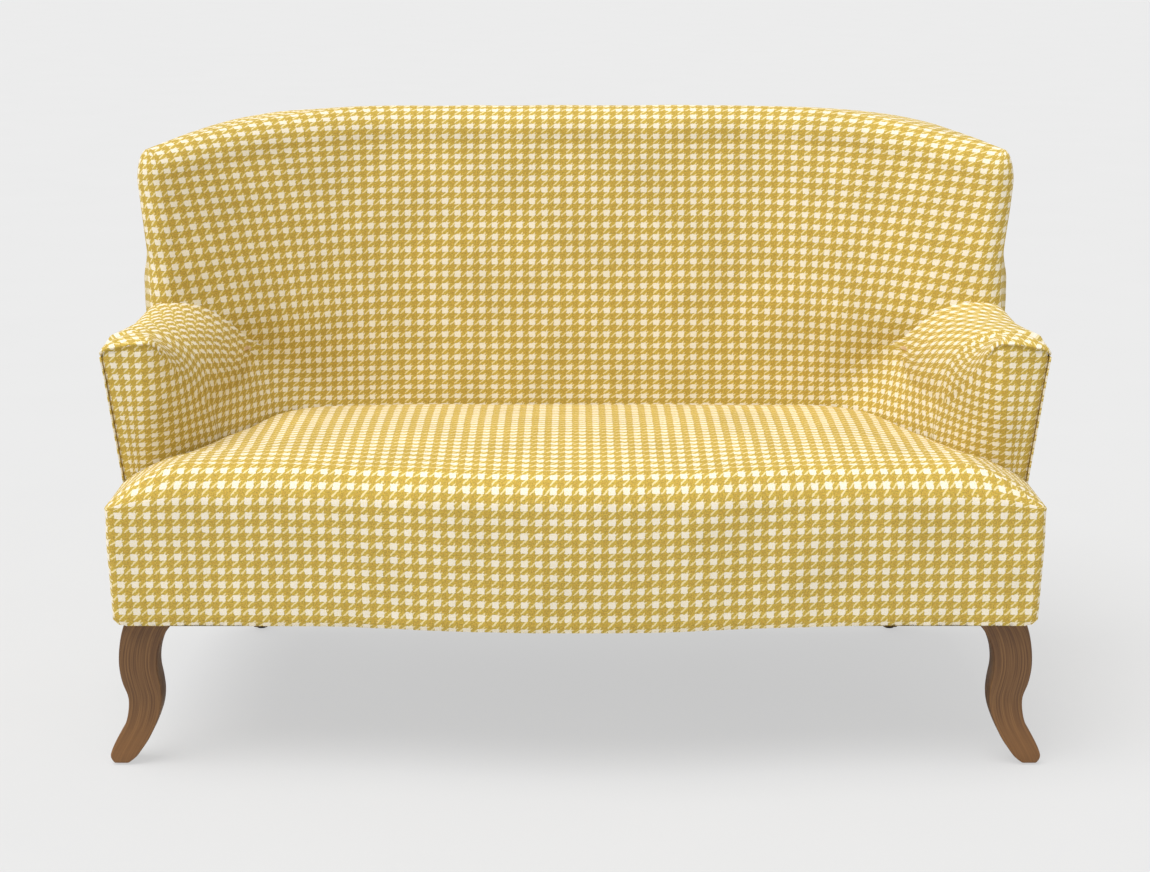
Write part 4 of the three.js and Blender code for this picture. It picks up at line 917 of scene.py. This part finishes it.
def makeLegWood():
    material, tree = newMaterial("legTimber")
    grain = addNode(tree, "ShaderNodeAttribute", attribute_name="grain").outputs["Vector"]
    stretched = drawnOut(tree, grain, (430.0, 300.0, 7.0))
    fibres = noiseNode(tree, stretched, 1.0, 5.0, 0.6).outputs[0]
    bands = noiseNode(tree, drawnOut(tree, grain, (45.0, 30.0, 6.0)), 1.0, 3.0).outputs[0]
    dark, light, warm = linear(84, 56, 33), linear(124, 89, 52), linear(142, 98, 54)
    colour = mixColour(tree, smoothNode(tree, fibres, 0.3, 0.72), dark, light)
    height = addNode(tree, "ShaderNodeSeparateXYZ", {0: grain}).outputs[2]
    low = oneLess(tree, smoothNode(tree, height, 0.02, 0.13))
    colour = mixColour(tree, times(tree, low, 0.45), colour, warm)
    colour = mixColour(tree, times(tree, smoothNode(tree, bands, 0.5, 0.75), 0.35), colour, dark)
    finishShader(tree, colour, 0.5, fibres, 0.2, 0.0004, **{"Specular IOR Level": 0.35})
    return material

def makePlain(name, dark, light, scale, roughness, metallic=0.0):
    material, tree = newMaterial(name)
    place = addNode(tree, "ShaderNodeTexCoord").outputs["Object"]
    pattern = noiseNode(tree, drawnOut(tree, place, scale), 1.0, 4.0).outputs[0]
    colour = mixColour(tree, smoothNode(tree, pattern, 0.3, 0.7), linear(*dark), linear(*light))
    finishShader(tree, colour, roughness, pattern, 0.2, 0.0005, Metallic=metallic)
    return material

# Legs
leg = {
    "shares": [0, 0.04, 0.09, 0.18, 0.28, 0.38, 0.475, 0.57, 0.67, 0.76, 0.85, 0.93, 1],
    "inner": [0.706, 0.694, 0.685, 0.671, 0.66, 0.652, 0.649,
              0.6505, 0.654, 0.653, 0.6475, 0.638, 0.625],
    "outer": [0.728, 0.734, 0.7315, 0.7215, 0.708, 0.702, 0.7015,
              0.709, 0.713, 0.713, 0.7105, 0.7065, 0.701],
    "front": 0.018, "rear": 0.063, "low": 0.0029, "high": 0.2366, "rows": 44, "bevel": 0.0032,
}
rearLegPlan = {
    "sole": (0.5872, 0.3143), "top": (0.6272, 0.2723), "foot": 0.026, "head": 0.05, "rows": 10,
}

def smoothCurve(shares, values, share):  # a smooth line through the places given
    k = max(0, min(len(shares) - 2, sum(1 for s in shares if s <= share) - 1))
    p1, p2 = values[k], values[k + 1]
    p0 = values[k - 1] if k else 2 * p1 - p2
    p3 = values[k + 2] if k + 2 < len(values) else 2 * p2 - p1
    s0 = shares[k - 1] if k else 2 * shares[k] - shares[k + 1]
    s3 = shares[k + 2] if k + 2 < len(shares) else 2 * shares[k + 1] - shares[k]
    step = shares[k + 1] - shares[k]
    t = (share - shares[k]) / step
    m1 = (p2 - p0) / (shares[k + 1] - s0) * step
    m2 = (p3 - p1) / (s3 - shares[k]) * step
    return ((2 * t ** 3 - 3 * t ** 2 + 1) * p1 + (t ** 3 - 2 * t ** 2 + t) * m1
            + (-2 * t ** 3 + 3 * t ** 2) * p2 + (t ** 3 - t ** 2) * m2)

def makeSawnLeg(name, sections):
    # sections: (x0, x1, y0, y1, z) from the foot up, drawn out by extruding a flat start
    x0, x1, y0, y1, z = sections[0]
    bpy.ops.object.select_all(action="DESELECT")
    bpy.ops.mesh.primitive_plane_add(size=1, location=(0, 0, 0))
    obj = bpy.context.object
    obj.name = name
    bpy.ops.object.mode_set(mode="EDIT")
    bpy.ops.mesh.select_all(action="SELECT")
    bpy.ops.transform.resize(value=(x1 - x0, y1 - y0, 1), center_override=(0, 0, 0))
    bpy.ops.transform.translate(value=((x0 + x1) / 2, (y0 + y1) / 2, z))
    for a, b in zip(sections, sections[1:]):
        step = ((b[0] + b[1] - a[0] - a[1]) / 2, (b[2] + b[3] - a[2] - a[3]) / 2, b[4] - a[4])
        bpy.ops.mesh.extrude_region_move(TRANSFORM_OT_translate={"value": step})
        centre = ((b[0] + b[1]) / 2, (b[2] + b[3]) / 2, b[4])
        size = ((b[1] - b[0]) / (a[1] - a[0]), (b[3] - b[2]) / (a[3] - a[2]), 1)
        bpy.ops.transform.resize(value=size, center_override=centre)
    bpy.ops.mesh.select_all(action="DESELECT")
    bpy.ops.object.mode_set(mode="OBJECT")
    mesh = obj.data
    for edge in mesh.edges:
        a, b = (mesh.vertices[k].co for k in edge.vertices)
        upright = abs(a.z - b.z) > 1e-5
        foot = max(a.z, b.z) < sections[0][4] + 1e-5
        edge.select = upright or foot
    bpy.ops.object.mode_set(mode="EDIT")
    bpy.ops.mesh.select_mode(type="EDGE")
    bpy.ops.mesh.bevel(offset=leg["bevel"], segments=3, profile=0.55, clamp_overlap=True)
    bpy.ops.mesh.select_all(action="SELECT")
    bpy.ops.mesh.normals_make_consistent(inside=False)
    bpy.ops.object.mode_set(mode="OBJECT")
    bpy.ops.object.shade_smooth_by_angle(angle=radians(32))
    return obj

def addGrain(obj, centreAt):  # wood coordinates that follow the leg's curve
    mesh = obj.data
    grain = mesh.attributes.new("grain", "FLOAT_VECTOR", "POINT")
    for vertex, item in zip(mesh.vertices, grain.data):
        centre = centreAt(between(vertex.co.z, leg["low"], leg["high"]))
        item.vector = (vertex.co.x - centre[0], vertex.co.y - centre[1], vertex.co.z)

def makeFrontLeg():
    front, rear = leg["front"] + frontPlane, leg["rear"] + frontPlane

    def sidesAt(share):
        return [smoothCurve(leg["shares"], leg[side], share) for side in ("inner", "outer")]

    sections = [(*sidesAt(share), front, rear, lerp(leg["low"], leg["high"], share))
                for share in spread(leg["rows"])]
    obj = makeSawnLeg("rightFrontLeg", sections)
    addGrain(obj, lambda share: (sum(sidesAt(share)) / 2, front))
    return obj

def makeRearLeg():
    def centreAt(share):
        return Vector(rearLegPlan["sole"]).lerp(Vector(rearLegPlan["top"]), 1 - (1 - share) ** 2)

    sections = []
    for share in spread(rearLegPlan["rows"]):
        half = lerp(rearLegPlan["foot"], rearLegPlan["head"], share) / 2
        x, y = centreAt(share)
        z = lerp(leg["low"], leg["high"], share)
        sections.append((x - half, x + half, y - half, y + half, z))
    obj = makeSawnLeg("rightRearLeg", sections)
    addGrain(obj, centreAt)
    return obj

def giveMaterial(obj, material):
    obj.data.materials.clear()
    obj.data.materials.append(material)

cloth = makeCloth()
legWood = makeLegWood()
plain = {
    "frame_timber": makePlain("frameTimber", (176, 140, 98), (212, 180, 136), (90, 6, 90), 0.8),
    "steel": makePlain("steel", (120, 124, 128), (160, 164, 168), (200, 200, 200), 0.4, 0.9),
    "jute": makePlain("jute", (140, 114, 76), (184, 156, 112), (700, 700, 700), 0.95),
    "dust_cloth": makePlain("dustCloth", (34, 32, 32), (54, 50, 50), (900, 900, 900), 1.0),
    "glide": makePlain("glidePlastic", (52, 48, 46), (66, 60, 57), (300, 300, 300), 0.6),
}

def upholster(obj, cover, padding):
    soften(obj)
    moveToFrame(obj)
    giveMaterial(obj, cloth)
    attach(obj, "root")
    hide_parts(cover, padding)

def tackOver(obj, node, spans):  # cloth cut to size and tacked tight over the frame
    places = [v.co for v in obj.data.vertices]
    flatSize = [ceil(span * 100) / 100 for span in spans(
        *(max(p[k] for p in places) - min(p[k] for p in places) for k in range(3)))]
    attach(obj, "root")
    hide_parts(node)

backObj = makeBack()
upholster(backObj, "inside_back_cover", "back_foam")
print("back", len(backObj.data.polygons))

armObj = makeArm()
leftArm = mirrorOf(armObj, "leftArm")
upholster(armObj, "right_arm_cover", "right_arm_foam")
upholster(leftArm, "left_arm_cover", "left_arm_foam")
print("arms", len(armObj.data.polygons))

seatObj = makeSeat()
upholster(seatObj, "seat_cover", "seat_foam")
print("seat", len(seatObj.data.polygons))

rearPanel = makeRearPanel()
sidePanel = makeSidePanel()
leftPanel = mirrorOf(sidePanel, "leftSide")
for obj in (rearPanel, sidePanel, leftPanel):
    moveToFrame(obj)
    giveMaterial(obj, cloth)
tackOver(rearPanel, "outside_back_cover", lambda x, y, z: (x, hypot(y, z)))
for obj, side in ((sidePanel, "right"), (leftPanel, "left")):
    tackOver(obj, side + "_outside_side_cover", lambda x, y, z: (x + y, z))
print("panels")

dustCover = makeDustCover()
giveMaterial(dustCover, plain["dust_cloth"])
tackOver(dustCover, "dust_cover", lambda x, y, z: (x, y))
print("dust cover")

legs = ((makeFrontLeg(), "leftFrontLeg", "front_leg"), (makeRearLeg(), "leftRearLeg", "rear_leg"))
for obj, name, node in legs:
    for each, side in ((obj, "right_"), (mirrorOf(obj, name), "left_")):
        giveMaterial(each, legWood)
        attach(each, "root")
        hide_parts(side + node)
print("legs")

for row in frame["record"]["subparts"]:
    node = frame["nodes"][row["node"]]
    if row["material_slot"] in plain and not node.hide_render:
        node.data.materials.clear()
        node.data.materials.append(plain[row["material_slot"]])
print("frame nodes")

# Studio
studio = {
    "sky": 0.56, "key": 3.1, "keyAngle": 50, "keyWay": (0.3, 0.2, -0.93),
    "paper": (linear(223, 223, 223), linear(225, 225, 225)), "glow": 0.74,
    "lens": 69.6, "eye": (0, -3.264 + frontPlane, 1.354), "pitch": 76, "shift": -0.0004,
}
bpy.ops.object.select_all(action="DESELECT")
bpy.ops.mesh.primitive_plane_add(size=80, location=(0, 20, 0))
floor = bpy.context.object
floor.name = "floor"
material, tree = newMaterial("floorPaper")
place = addNode(tree, "ShaderNodeTexCoord").outputs["Object"]
tone = mixColour(tree, noiseNode(tree, place, 3.0).outputs[0], *studio["paper"])
diffuse = addNode(tree, "ShaderNodeBsdfDiffuse", {"Color": tone})
glow = addNode(tree, "ShaderNodeEmission", {"Color": tone, "Strength": 1.0})
seen = addNode(tree, "ShaderNodeLightPath").outputs["Is Camera Ray"]
mixed = addNode(tree, "ShaderNodeMixShader", {0: times(tree, seen, studio["glow"]),
                                              1: diffuse.outputs[0], 2: glow.outputs[0]})
addNode(tree, "ShaderNodeOutputMaterial", {"Surface": mixed.outputs[0]})
floor.data.materials.append(material)

world = bpy.data.worlds.new("studio")
bpy.context.scene.world = world
world.use_nodes = True
world.node_tree.nodes["Background"].inputs["Color"].default_value = (1, 1, 1, 1)
world.node_tree.nodes["Background"].inputs["Strength"].default_value = studio["sky"]

light = bpy.data.lights.new("key", "SUN")
light.energy = studio["key"]
light.angle = radians(studio["keyAngle"])
lamp = bpy.data.objects.new("key", light)
lamp.rotation_euler = Vector(studio["keyWay"]).to_track_quat("-Z", "Y").to_euler()
bpy.context.scene.collection.objects.link(lamp)

bpy.context.scene.view_settings.view_transform = "Standard"

camera = bpy.data.cameras.new("camera")
camera.lens = studio["lens"]
camera.sensor_width = 36
camera.shift_x = studio["shift"]
cameraObj = bpy.data.objects.new("camera", camera)
cameraObj.location = studio["eye"]
cameraObj.rotation_euler = (radians(studio["pitch"]), 0, 0)
bpy.context.scene.collection.objects.link(cameraObj)
bpy.context.scene.camera = cameraObj
